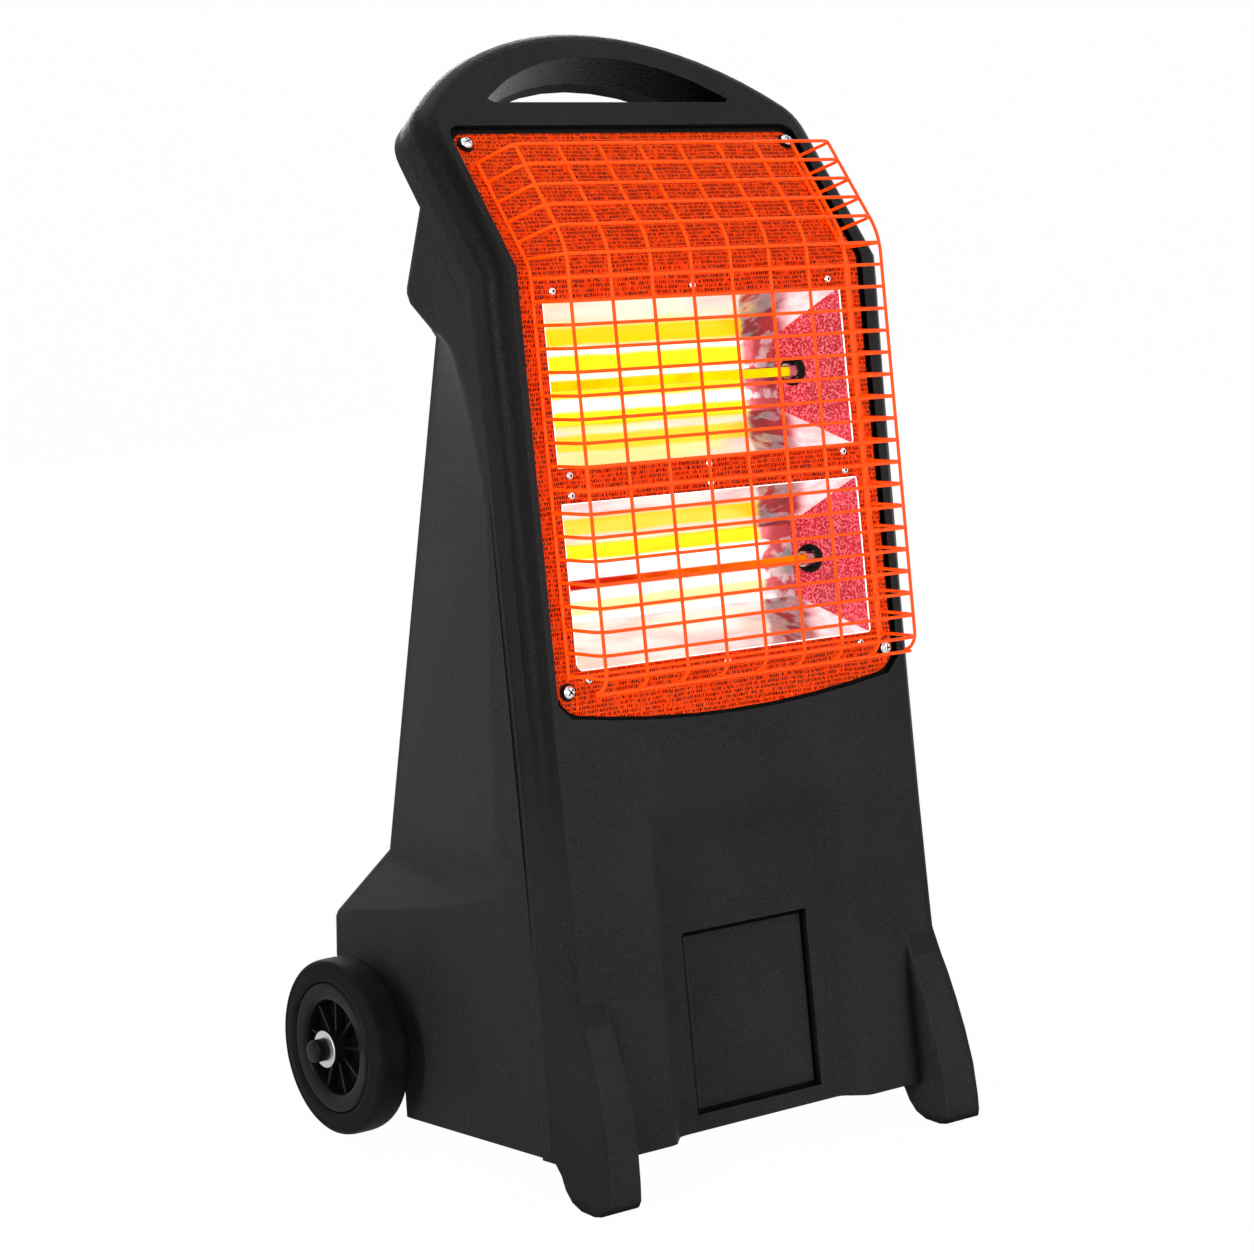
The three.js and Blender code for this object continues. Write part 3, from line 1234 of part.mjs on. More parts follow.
for (const [level, side] of [['upper', 1], ['lower', -1]]) {
  const group = new THREE.Group();
  group.position.x = side * switchPitch / 2;
  switchGroup.add(group);
  place(`switch_housing_${level}_lamp`, switchHousing(), colours.blackGloss, group);
  const rocker = place(`rocker_${level}_lamp`, rockerBody(), colours.redPlastic, group);
  rocker.position.z = bezelSeat;
  rocker.rotation.x = -THREE.MathUtils.degToRad(rockerThrow);
}

// Cable gland and its nut
const glandGroup = frameGroup(glandFrame, heater);
const glandTail = shellWall + glandNutThickness + 3 * gap;
const gland = turned([[glandBore, -glandTail], [glandThreadRadius, -glandTail], [glandThreadRadius, gap],
  [glandRadius, gap], [glandRadius, glandLength / 2], [glandRadius * glandTipShare, glandLength], [glandBore, glandLength]]);
place('cable_gland', gland, colours.blackPlastic, glandGroup);
const nut = new THREE.CylinderGeometry(glandNutRadius, glandNutRadius, glandNutThickness, 6);
nut.rotateX(Math.PI / 2).translate(0, 0, -shellWall - gap - glandNutThickness / 2);
const nutBody = solid(nut).subtract(rod(glandThreadRadius + gap, 0, 0, -overrun, overrun));
place('gland_nut', nutBody, colours.brass, glandGroup);

// Base cover, terminal block and tip-over switch
const coverGroup = frameGroup(edgeFrame, heater);
function baseCover() {
  const front = (depthAt(faceProud - shellWall, frontEdgeHeight + coverRise + coverThickness) - bayFront)
    / Math.cos(edgeAngle) + coverGap + coverThickness;
  const notch = front + recessDepth + coverGap;
  const half = footHalfWidth - shellWall - coverThickness;
  const rearHalf = rearHalfWidth - shellWall - coverGap;
  const notchHalf = recessBottomHalf + shellWall + coverThickness;
  const split = depthAt(partingDepth, frontEdgeHeight) - bayFront - coverGap;
  const rear = -shellWall - coverGap;
  const points = [[-half + coverGap, front], [-notchHalf, front], [-notchHalf, notch], [notchHalf, notch],
    [notchHalf, front], [half - coverGap, front], [half - coverGap, split], [rearHalf, split], [rearHalf, rear],
    [-rearHalf, rear], [-rearHalf, split], [-half + coverGap, split]].map(([x, y]) => new THREE.Vector2(x, y));
  return slab(points, coverRise, coverRise + coverThickness);
}
place('base_cover', baseCover(), colours.steel, coverGroup);

function terminalBlock() {
  let body = block(-terminalWidth / 2, terminalWidth / 2, -terminalDepth / 2, terminalDepth / 2, 0, terminalHeight);
  const pitch = terminalWidth / terminalPoles;
  for (let i = 0; i < terminalPoles; i += 1) {
    const x = -terminalWidth / 2 + pitch * (i + 0.5);
    for (const y of [-terminalDepth / 4, terminalDepth / 4]) {
      body = body.subtract(rod(poleRadius, x, y, terminalHeight - poleDepth, terminalHeight + overrun, undefined, arcSteps + 1));
    }
  }
  return body;
}
const coverTop = coverRise + coverThickness + gap;
const terminals = place('terminal_block', terminalBlock(), colours.ceramic, coverGroup);
terminals.position.set(0, -terminalBack, coverTop);

function tipSwitch() {
  return block(-tipWidth / 2, tipWidth / 2, -tipDepth / 2, tipDepth / 2, 0, tipHeight)
    .add(rod(tipButtonRadius, 0, 0, tipHeight - sink, tipHeight + tipButtonHeight, undefined, roundSteps / 2));
}
const tip = place('tip_over_switch', tipSwitch(), colours.blackGloss, coverGroup);
tip.position.set(tipOffset, -tipBack - tipDepth, coverTop);

export default heater;
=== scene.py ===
"""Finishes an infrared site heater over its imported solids, and sets it in a plain studio.

The frame stands with its feet on zero, +Z up and the guarded face towards -Y.  Everything is in
metres.  Each operator makes one piece, or one group of like pieces, and says which body it rides on.
"""

import itertools
import math

import bmesh
import bpy
from mathutils import Matrix, Vector


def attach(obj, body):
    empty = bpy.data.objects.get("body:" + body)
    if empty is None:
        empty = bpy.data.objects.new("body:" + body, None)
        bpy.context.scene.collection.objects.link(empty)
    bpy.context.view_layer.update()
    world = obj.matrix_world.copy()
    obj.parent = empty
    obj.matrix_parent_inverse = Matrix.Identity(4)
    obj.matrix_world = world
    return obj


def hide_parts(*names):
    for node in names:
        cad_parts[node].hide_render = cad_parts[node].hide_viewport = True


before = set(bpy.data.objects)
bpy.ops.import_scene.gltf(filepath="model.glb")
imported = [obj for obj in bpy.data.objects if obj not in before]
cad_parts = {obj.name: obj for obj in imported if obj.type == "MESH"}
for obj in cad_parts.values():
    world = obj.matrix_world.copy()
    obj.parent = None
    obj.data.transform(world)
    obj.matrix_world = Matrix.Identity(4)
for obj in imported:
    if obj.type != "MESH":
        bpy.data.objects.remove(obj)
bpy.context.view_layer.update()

bl_info = {
    "name": "Infrared Heater Finish",
    "version": (1, 0, 0),
    "blender": (4, 5, 0),
    "location": "View3D > Sidebar > Heater",
    "description": "Builds the shown pieces and finishes of a wheeled infrared heater with two lamps",
    "category": "Object",
}

# The face of the heater is one sheet with a knee in it.  Along is measured up the sheet from the
# knee, out is measured square to it, towards whoever stands in front, and across from the middle.
KNEE_HEIGHT = 0.735
KNEE_DEPTH = -0.0555
LOWER_LEAN = math.radians(8.7)
UPPER_LEAN = math.radians(40.9)
# Where each lamp lies along the sheet, and how far behind it.
LAMPS = {"upper": -0.09225, "lower": -0.25375}
LAMP_OUT = -0.047
FILAMENT_LENGTH = 0.27
OPENING_HALF = 0.158
OPENING_RISE = 0.06675
REFLECTOR_BACK = 0.131
REFLECTOR_DEPTH = 0.062
# The inner face of a tyre across, and a wheel's centre in depth and height.
WHEEL_INNER = 0.220
WHEEL_CENTRE = (0.1149, 0.075)
SCREW_ACROSS = 0.170
UPPER_SCREW = 0.126
LOWER_SCREW = -0.3355
WASHER_THICKNESS = 0.003
RIVETS_ACROSS = (-0.147, -0.003, 0.145)
RIVETS_ALONG = (-0.0185, -0.165, -0.181, -0.328)
# The front shell's bead lies beyond these, and the fascia's low corners are rounded by this.
BEAD_ACROSS = 0.181
BEAD_HEIGHT = 0.862
CORNER_ROUND = 0.0065
CAMERA_PLACE = (-1.6640, -2.0754, 0.8631)
CAMERA_TILT = math.radians(9.355)
CAMERA_TURN = math.radians(38.29)


def on_sheet(across, along, out, lean):
    """The place of a point given square to a face that leans back from the knee."""
    return Vector((
        across,
        along * math.sin(lean) - out * math.cos(lean) + KNEE_DEPTH,
        KNEE_HEIGHT + along * math.cos(lean) + out * math.sin(lean),
    ))


def on_lower_face(across, along, out):
    return on_sheet(across, along, out, LOWER_LEAN)


def on_upper_face(across, along, out):
    return on_sheet(across, along, out, UPPER_LEAN)


def number(name, description, default, most, least=0, **unit):
    return bpy.props.FloatProperty(name=name, description=description, default=default, min=least,
                                   max=most, **unit)


def length(name, description, default, least, most):
    return number(name, description, default, most, least, unit="LENGTH")


def power(name, description, default):
    return number(name, description, default, 1000, unit="POWER")


def paint(name, description, default):
    return bpy.props.FloatVectorProperty(name=name, description=description, default=default,
                                         subtype="COLOR", min=0, max=1)


def count(name, description, default, least, most):
    return bpy.props.IntProperty(name=name, description=description, default=default, min=least, max=most)


LOWER_OUT = on_lower_face(0, 0, 1) - on_lower_face(0, 0, 0)
UPPER_OUT = on_upper_face(0, 0, 1) - on_upper_face(0, 0, 0)


class HeaterStage(bpy.types.PropertyGroup):
    focal_length: number("Focal Length", "Lens that shows the heater as it was photographed", 91.15, 300, 20,
                         unit="CAMERA")
    floor_colour: paint("Floor", "Colour of the floor and of the sweep behind it", (0.9, 0.9, 0.9))
    floor_white: number("Floor White", "Share of the floor that shows as plain white in any light", 0.985, 1,
                        subtype="FACTOR")
    key_power: power("Key Light", "Power of the large lamp in front and to the right", 48)
    rim_power: power("Rim Light", "Power of the tall narrow lamp on the left", 42)
    side_power: power("Side Light", "Power of the large lamp on the left", 24)
    fill_power: power("Fill Light", "Power of the low lamp in front and to the left", 26)
    top_power: power("Top Light", "Power of the lamp overhead", 12)
    back_power: power("Back Light", "Power of the large lamp behind and to the right", 44)
    room_light: number("Room Light", "Strength of the even light from all round", 0.26, 5)


class HeaterFinish(bpy.types.PropertyGroup):
    plastic_colour: paint("Plastic", "Colour of the moulded shells", (0.0190, 0.0190, 0.0192))
    sheet_colour: paint("Fascia Sheet", "Colour of the embossed sheet round the lamps", (0.9, 0.055, 0.002))
    wire_colour: paint("Guard Wire", "Colour of the coated guard", (0.95, 0.075, 0.002))
    # The crimson of the end sheets is painted glow, the lamps' light that they give back.
    end_painted_glow_colour: paint("Reflector End", "Colour that the hammered end sheets take from the glow",
                      (0.5, 0.012, 0.03))
    # The colour and strength of the glow painted into the troughs as reflections of the lamps.
    trough_painted_glow_colour: paint("Lamp Glow", "Colour of the lamps' glow in the troughs", (1.0, 0.72, 0.0))
    trough_painted_glow_strength: number("Glow Strength", "Strength of the glow in the troughs", 0.95, 10)
    row_pitch: length("Row Pitch", "Distance between the fascia's rows of dimples", 0.0038, 0.001, 0.02)
    dimple_pitch: length("Dimple Pitch", "Distance between the dimples in a row", 0.0022, 0.001, 0.02)


class HeaterSizes(bpy.types.PropertyGroup):
    guard_wire: length("Guard Wire", "Diameter of the guard's wires", 0.0028, 0.001, 0.01)
    wire_bend: length("Wire Bend", "How far the bends of the guard's wires are rounded", 0.012, 0.001, 0.03)
    rivet_head: length("Rivet Head", "Diameter of the rivets that hold the reflectors", 0.0066, 0.002, 0.02)
    screw_head: length("Screw Head", "Diameter of the domed screws in the fascia's corners", 0.011, 0.004, 0.02)
    filament_turns: count("Filament Turns", "Number of turns in each lamp's coiled filament", 170, 10, 400)
    wheel_ribs: count("Wheel Ribs", "Number of ribs between the hub and the rim of a wheel", 9, 3, 36)


class Finish:
    """One material's node tree: its shader, and short ways to add nodes and to join them."""

    def __init__(self, name, **shared):
        self.material = bpy.data.materials.new(name)
        self.material.use_nodes = True
        self.tree = self.material.node_tree
        self.shader = self.tree.nodes["Principled BSDF"]
        for socket, value in shared.items():
            self.set(self.shader, socket.replace("_", " "), value)

    def set(self, node, socket, value):
        if isinstance(value, bpy.types.NodeSocket):
            self.tree.links.new(value, node.inputs[socket])
        elif isinstance(value, tuple) and len(value) == 3 and len(node.inputs[socket].default_value) == 4:
            node.inputs[socket].default_value = (*value, 1)
        else:
            node.inputs[socket].default_value = value

    def add(self, kind, inputs=None, **settings):
        node = self.tree.nodes.new("ShaderNode" + kind)
        for name, value in settings.items():
            setattr(node, name, value)
        for socket, value in (inputs or {}).items():
            self.set(node, socket, value)
        return node

    def place(self):
        """Where the point is on the object, in metres."""
        return self.add("TexCoord").outputs["Object"]

    def noise(self, scale, detail=3.0, vector=None, roughness=0.5):
        inputs = {"Vector": vector or self.place(), "Scale": scale, "Detail": detail, "Roughness": roughness}
        return self.add("TexNoise", inputs).outputs["Fac"]

    def math(self, operation, first, second=0.0):
        return self.add("Math", {0: first, 1: second}, operation=operation).outputs[0]

    def times(self, first, second):
        return self.math("MULTIPLY", first, second)

    def plus(self, first, second):
        return self.math("ADD", first, second)

    def minus(self, first, second):
        return self.math("SUBTRACT", first, second)

    def spread(self, value, low, high, to_low=0.0, to_high=1.0):
        """A smooth step from one value to another."""
        return self.add("MapRange", {"Value": value, "From Min": low, "From Max": high, "To Min": to_low,
                                     "To Max": to_high}, interpolation_type="SMOOTHSTEP").outputs["Result"]

    def blend(self, share, first, second):
        return self.add("Mix", {0: share, 6: first, 7: second}, data_type="RGBA").outputs[2]

    def chance(self, *cell):
        """A fixed random number for each cell of a grid."""
        where = self.add("CombineXYZ", dict(enumerate(cell)))
        return self.add("TexWhiteNoise", {"Vector": where.outputs[0]}, noise_dimensions="3D").outputs["Value"]

    def soft_edges(self, radius):
        """The surface as it would be with its sharp edges rounded off."""
        return self.add("Bevel", {"Radius": radius}, samples=4).outputs["Normal"]

    def openness(self, reach, **settings):
        """How much of the sky a point sees within a reach: low in grooves and hollows."""
        return self.add("AmbientOcclusion", {"Distance": reach}, samples=6, **settings).outputs["AO"]

    def bump(self, height, distance, strength=1.0, normal=None):
        inputs = {"Height": height, "Distance": distance, "Strength": strength}
        if normal is not None:
            inputs["Normal"] = normal
        return self.add("Bump", inputs).outputs["Normal"]

    def colour(self, value):
        self.set(self.shader, "Base Color", value)

    def sheen(self, drift, smooth, rough):
        """Roughness that drifts between two values with a cloud."""
        self.set(self.shader, "Roughness", self.spread(drift, 0.3, 0.7, smooth, rough))

    def glow(self, colour, strength):
        self.set(self.shader, "Emission Color", colour)
        self.set(self.shader, "Emission Strength", strength)

    def normal(self, value):
        self.set(self.shader, "Normal", value)


def scaled(colour, factor):
    return tuple(min(1.0, c * factor) for c in colour)


def moulded_plastic(name, shine, shade, rough, dull=None):
    """Black polypropylene with the fine spark-eroded grain of a large moulding, with edges painted lighter,
    part wear and part painted highlight, and painted shade in its hollows.  A shade below 1 paints it darker as
    painted shade, and dull is the painted shade and the roughness that it has near the floor."""
    base = tuple(bpy.context.scene.heater_finish.plastic_colour)
    made = Finish(name, IOR=1.49, Specular_IOR_Level=shine)
    grain = made.noise(620, 3, roughness=0.6)
    coarse = made.noise(260, 2)
    cloud = made.noise(7, 3)
    rounded = made.soft_edges(0.0012)
    flat = made.add("NewGeometry").outputs["Normal"]
    turn = made.add("VectorMath", {0: rounded, 1: flat}, operation="DOT_PRODUCT").outputs["Value"]
    # Painted highlight, part wear: edges are painted lighter where the rounded normal turns away from the flat
    # one.
    edge_wear_and_highlight = made.times(made.spread(turn, 0.985, 0.86), made.spread(made.noise(60, 3), 0.3, 0.6, 0.35, 1.0))
    ground = made.blend(made.spread(cloud, 0.3, 0.7), scaled(base, 0.88), scaled(base, 1.14))
    fleck = made.spread(made.noise(900, 2), 0.5, 0.68)
    speckled = made.blend(made.times(fleck, 0.5), ground, scaled(base, 2.6))
    # Painted shade: hollows, recesses and places close to other parts are painted dark.
    hollow_painted_shade = made.spread(made.openness(0.015), 0.95, 0.45)
    edges_and_hollows_painted = made.blend(hollow_painted_shade, made.blend(edge_wear_and_highlight, speckled, scaled(base, 3.0)), scaled(base, 0.15))
    # Painted shade that rises with height: a shade below 1 paints the colour darker above the lower part, and
    # the roughness follows the same rise.
    height = made.add("SeparateXYZ", {"Vector": made.place()}).outputs["Z"]
    shade_and_gloss_rise = made.spread(height, 0.16, 0.42)
    low_shade, low_gloss = dull or (shade, None)
    painted_darkening = made.spread(shade_and_gloss_rise, 0, 1, 1.0 - low_shade, 1.0 - shade)
    made.colour(made.blend(painted_darkening, edges_and_hollows_painted, grey(0.0)))
    gloss = made.spread(made.plus(made.times(grain, 0.6), made.times(cloud, 0.4)), 0.3, 0.7, *rough)
    if dull:
        gloss = made.add("Mix", {0: shade_and_gloss_rise, 2: low_gloss, 3: gloss}, data_type="FLOAT").outputs[0]
    made.set(made.shader, "Roughness", gloss)
    made.normal(made.bump(made.plus(grain, made.times(coarse, 0.6)), 0.0007, 0.75, rounded))
    return made.material


def clouded(name, cloud, shades, sheen, grain=None, edges=0.0, patches=None, glow=None, **shared):
    """A finish whose colour and sheen drift with one cloud.  The cloud has its scale and detail, the
    grain its scale, detail, depth and strength, and the glow its two colours and its strength."""
    made = Finish(name, **shared)
    drift = made.noise(*cloud)
    made.colour(made.blend(made.spread(drift, *patches) if patches else drift, *shades))
    made.sheen(drift, *sheen)
    if grain:
        made.normal(made.bump(made.noise(*grain[:2]), *grain[2:], made.soft_edges(edges) if edges else None))
    if glow:
        made.glow(made.blend(drift, *glow[:2]), glow[2])
    return made.material


def grey(level):
    return (level, level, level)


PLAIN_FINISHES = {
    # Black plastic off a polished mould, for caps, washers and other small parts.
    "smooth_plastic": dict(cloud=(40, 3), shades=(grey(0.0035), grey(0.0065)), sheen=(0.26, 0.38),
                           edges=0.0005, grain=(600, 2, 0.00005, 0.4), IOR=1.5, Specular_IOR_Level=0.07),
    "tyre_rubber": dict(cloud=(35, 4), shades=(grey(0.005), grey(0.01)), sheen=(0.5, 0.66),
                        patches=(0.35, 0.75), grain=(900, 3, 0.00018, 0.6), IOR=1.52,
                        Specular_IOR_Level=0.03),
    "soft_rubber": dict(cloud=(60, 3), shades=((0.012, 0.012, 0.013), grey(0.024)), sheen=(0.5, 0.7),
                        grain=(700, 2, 0.0001, 0.5), IOR=1.5),
    "plain_steel": dict(cloud=(50, 4), shades=((0.42, 0.42, 0.41), (0.6, 0.6, 0.59)), sheen=(0.28, 0.46),
                        grain=(800, 3, 0.00005, 0.4), Metallic=1.0),
    # The rolled edge of a trough, as it shows round its opening, painted bright with a painted glow for the
    # lamp's light on it.
    "lip_painted_glow": dict(cloud=(70, 3), shades=((0.8, 0.76, 0.74), (0.95, 0.93, 0.92)), sheen=(0.2, 0.34),
                       glow=((1.0, 0.86, 0.8), (1.0, 0.95, 0.9), 0.6), Metallic=0.8),
    "white_ceramic": dict(cloud=(300, 4), shades=((0.62, 0.59, 0.54), (0.74, 0.72, 0.68)), sheen=(0.4, 0.6),
                          grain=(300, 4, 0.0001, 0.4), IOR=1.55),
    # Brown-black glazed ceramic, for the lamp holders, and for the dark rings in the reflectors' ends, which
    # are painted shade in the holes round the lamps.
    "dark_ceramic": dict(cloud=(260, 4), shades=(grey(0.002), (0.006, 0.005, 0.005)), sheen=(0.45, 0.65),
                         grain=(260, 4, 0.0001, 0.4), IOR=1.5, Specular_IOR_Level=0.12),
}


def embossed_sheet():
    """Coated steel sheet, rolled with rows of short dimples that are painted dark as painted shade, so that
    they read as dark stitches.  Its raised specks are lighter, part texture and part painted highlight, and it
    has a faint painted glow.
    """
    settings = bpy.context.scene.heater_finish
    base = tuple(settings.sheet_colour)
    made = Finish("embossed_sheet", IOR=1.5, Specular_IOR_Level=0.04)
    place = made.add("UVMap", uv_map="sheet").outputs["UV"]
    apart = made.add("SeparateXYZ", {"Vector": place})
    wander = made.times(made.noise(30, 2, place), 0.0036)
    rows = made.math("DIVIDE", made.plus(apart.outputs["Y"], wander), settings.row_pitch)
    row = made.math("FLOOR", rows)
    height = made.math("ABSOLUTE", made.minus(made.math("FRACT", rows), 0.5))
    shift = made.plus(made.chance(row, 3.0), made.times(made.noise(240, 2, place), 2.2))
    steps = made.plus(made.math("DIVIDE", apart.outputs["X"], settings.dimple_pitch), shift)
    width = made.math("ABSOLUTE", made.minus(made.math("FRACT", steps), 0.5))
    depth = made.spread(made.chance(made.math("FLOOR", steps), row), 0.05, 0.55, 0.15, 1.0)
    # Painted shade: each dimple is painted dark to its own depth, and the seams between rows a little darker.
    dimple = made.times(made.spread(width, 0.38, 0.2), made.spread(height, 0.44, 0.26))
    dark = made.times(dimple, depth)
    line = made.times(made.spread(height, 0.5, 0.38), made.spread(made.noise(90, 3, place), 0.45, 0.62))
    ground = made.blend(made.noise(24, 3), scaled(base, 0.84), scaled(base, 1.06))
    # Painted highlight, part texture: raised specks are painted lighter orange, and are smoother and raised
    # too.
    bright = made.spread(made.noise(500, 3, place), 0.55, 0.7)
    lit = made.blend(made.times(bright, 0.75), ground, (1.0, 0.2, 0.025))
    shaded_ground = made.blend(made.times(line, 0.25), lit, (0.5, 0.022, 0.003))
    made.colour(made.blend(made.times(dark, 0.93), shaded_ground, (0.02, 0.0, 0.0)))
    made.set(made.shader, "Roughness", made.spread(bright, 0, 1, 0.44, 0.3))
    made.normal(made.bump(made.minus(made.times(bright, 0.4), dark), 0.0005, 0.6))
    # Painted glow: the sheet gives off a faint orange light of its own, less in its dimples.
    made.glow(made.blend(dark, (0.9, 0.045, 0.004), (0.05, 0.0, 0.0)), 0.1)
    return made.material


def coated_wire():
    base = tuple(bpy.context.scene.heater_finish.wire_colour)
    # The wire has a painted glow, a faint orange light of its own.
    return clouded("coated_wire", (30, 3), (scaled(base, 0.88), scaled(base, 1.05)), (0.22, 0.34),
                   (500, 2, 0.00006, 0.4), glow=((0.95, 0.06, 0.0), (1.0, 0.1, 0.001), 0.26),
                   IOR=1.5, Specular_IOR_Level=0.1)


# Places in a trough's painted reflections, measured from its middle: where the lit length fades, where the far
# end's reflection starts, how far both shift sideways with depth, and the distance between the folds.
LIT_FADE = (0.053, 0.045)
FAR_START = (0.086, 0.104)
DEPTH_SHIFT = 0.76
FOLD_PITCH = 0.0215


def trough_painted_reflections(level, bands, whites, lift):
    """Polished sheet with its reflections painted on.  The lamp's painted glow lies in bands along its folds, a
    painted reflection, and ends where the lit length ends in the reflection; beyond that the sheet shows a
    painted reflection of its hammered end."""
    settings = bpy.context.scene.heater_finish
    glow = tuple(settings.trough_painted_glow_colour)
    made = Finish("glowing_trough_" + level, Metallic=0.85)
    apart = made.add("SeparateXYZ", {"Vector": made.place()})
    middle = on_lower_face(0, LAMPS[level], 0)
    rise = made.minus(apart.outputs["Z"], middle.z)
    back = made.minus(apart.outputs["Y"], middle.y)
    along = made.plus(made.times(rise, math.cos(LOWER_LEAN)), made.times(back, math.sin(LOWER_LEAN)))
    depth = made.minus(made.times(back, math.cos(LOWER_LEAN)), made.times(rise, math.sin(LOWER_LEAN)))
    across = made.minus(apart.outputs["X"], made.times(depth, DEPTH_SHIFT))
    uneven = made.times(made.minus(made.noise(16, 3), 0.5), 0.005)
    level_line = made.plus(along, uneven)
    total = None
    for centre, half, power in bands:
        near = made.math("ABSOLUTE", made.minus(level_line, centre))
        band = made.times(made.spread(near, half * 1.3, half * 0.75), power)
        total = band if total is None else made.math("MAXIMUM", total, band)
    ragged = made.plus(across, made.times(made.minus(made.noise(45, 3), 0.5), 0.014))
    lit = made.spread(ragged, *LIT_FADE)
    beyond = made.spread(ragged, *FAR_START)
    painted_glow_bands = made.times(total, lit)
    drawn = made.add("Mapping", {"Vector": made.place(), "Scale": (0.3, 1.0, 1.0)}).outputs[0]
    cloud = made.noise(42, 4, drawn)
    # The pale painted glow between the bands, warmed in veils.
    pale = made.blend(made.spread(cloud, 0.42, 0.6), whites[0], whites[1])
    veil = made.spread(made.noise(30, 3, drawn), 0.45, 0.62)
    warm = made.blend(made.times(veil, lift), pale, (1.0, 0.9, 0.3))
    # Painted reflection of the hammered end: crimson patches over greys.
    patches = made.spread(made.plus(made.noise(55, 3), made.times(total, 0.16)), 0.5, 0.6)
    greys = made.blend(made.noise(130, 3), (0.2, 0.16, 0.17), (0.75, 0.7, 0.7))
    blurred = made.blend(made.times(patches, 0.85), greys, (0.36, 0.012, 0.02))
    # Painted reflection of the far end, pale.
    far = made.blend(made.spread(made.noise(60, 3), 0.4, 0.6), (0.8, 0.72, 0.72), (1.0, 0.98, 0.97))
    painted_end_reflection = made.blend(beyond, blurred, far)
    shown = made.blend(lit, painted_end_reflection, made.blend(painted_glow_bands, warm, glow))
    made.colour(made.blend(lit, painted_end_reflection, made.blend(painted_glow_bands, (0.4, 0.35, 0.34), (0.3, 0.16, 0.0))))
    # The painted reflections glow, strongest in the bands and beyond the lit length.
    strength = made.plus(0.36, made.times(beyond, 0.42))
    painted_reflection_glow = made.math("MAXIMUM", made.times(lit, made.spread(painted_glow_bands, 0, 1, 0.74, 0.88)), strength)
    made.glow(shown, made.times(painted_reflection_glow, settings.trough_painted_glow_strength))
    made.sheen(made.noise(14, 3), 0.16, 0.3)
    folds = made.math("SINE", made.times(along, math.tau / FOLD_PITCH))
    made.normal(made.bump(made.plus(made.times(folds, 0.6), made.noise(60, 3)), 0.0008, 0.35))
    return made.material


def hammered_sheet():
    """Stucco-rolled sheet, painted crimson with painted glints and a painted glow, for the lamps' glow that it
    gives back.
    """
    base = tuple(bpy.context.scene.heater_finish.end_painted_glow_colour)
    made = Finish("hammered_sheet", Metallic=0.6)
    cells = made.add("TexVoronoi", {"Vector": made.place(), "Scale": 560.0}, feature="SMOOTH_F1")
    dent = made.spread(cells.outputs["Distance"], 0.15, 0.7)
    cloud = made.noise(26, 3)
    # Painted glints on the cell ridges and in specks, over a painted crimson glow.
    ridge = made.spread(cells.outputs["Distance"], 0.34, 0.6)
    glint = made.math("MAXIMUM", made.times(ridge, 0.4), made.spread(made.noise(420, 3), 0.6, 0.72))
    deep = made.blend(made.times(dent, made.spread(cloud, 0.3, 0.7)), scaled(base, 0.6), scaled(base, 1.35))
    made.colour(made.blend(made.times(glint, 0.6), deep, (0.95, 0.35, 0.4)))
    made.sheen(cloud, 0.24, 0.4)
    made.glow(made.blend(made.times(glint, 0.5), deep, (1.0, 0.3, 0.35)), 0.45)
    made.normal(made.bump(dent, 0.0009, 0.7))
    return made.material


def bright_chrome():
    made = Finish("bright_chrome", Metallic=1.0)
    cloud = made.noise(80, 3)
    # Painted shade: the cross recesses and dimples are painted near black.
    groove_painted_shade = made.spread(made.openness(0.003, only_local=True), 0.9, 0.5)
    made.colour(made.blend(groove_painted_shade, made.blend(cloud, grey(0.62), grey(0.8)), grey(0.03)))
    made.sheen(cloud, 0.12, 0.24)
    return made.material


def clear_quartz():
    made = Finish("clear_quartz", IOR=1.06, Transmission_Weight=1.0)
    made.colour(made.blend(made.noise(50, 3), (1.0, 0.96, 0.92), (1.0, 0.99, 0.98)))
    made.sheen(made.noise(25, 3), 0.0, 0.02)
    return made.material


def hot_filament(name, cool, hot, strength):
    """Glowing wire, cooler at its left end and hotter towards its right."""
    made = Finish(name, Roughness=0.5, Specular_IOR_Level=0.0)
    ripple = made.noise(38, 3)
    across = made.add("SeparateXYZ", {"Vector": made.place()}).outputs["X"]
    heat = made.spread(made.plus(across, made.times(made.minus(ripple, 0.5), 0.22)), -0.12, 0.12)
    made.colour(made.blend(ripple, scaled(cool, 0.3), scaled(cool, 0.5)))
    pulse = made.spread(ripple, 0.3, 0.7, strength * 0.85, strength * 1.1)
    made.glow(made.blend(heat, cool, hot), pulse)
    return made.material


def lit_rocker():
    """Red translucent rocker with its neon on."""
    made = Finish("lit_rocker", IOR=1.5, Transmission_Weight=0.15)
    cloud = made.noise(60, 3)
    made.colour(made.blend(cloud, (0.5, 0.012, 0.008), (0.62, 0.02, 0.012)))
    neon = made.spread(cloud, 0.3, 0.7, 0.16, 0.3)
    made.glow(made.blend(cloud, (0.9, 0.05, 0.01), (1.0, 0.09, 0.02)), neon)
    made.sheen(cloud, 0.16, 0.26)
    return made.material


FINISHES = {}


def finish_of(name, maker=None, *values):
    """A material made once, by its maker or from the plain finishes, and shared from then on."""
    if name not in FINISHES:
        FINISHES[name] = maker(*values) if maker else clouded(name, **PLAIN_FINISHES[name])
    return FINISHES[name]


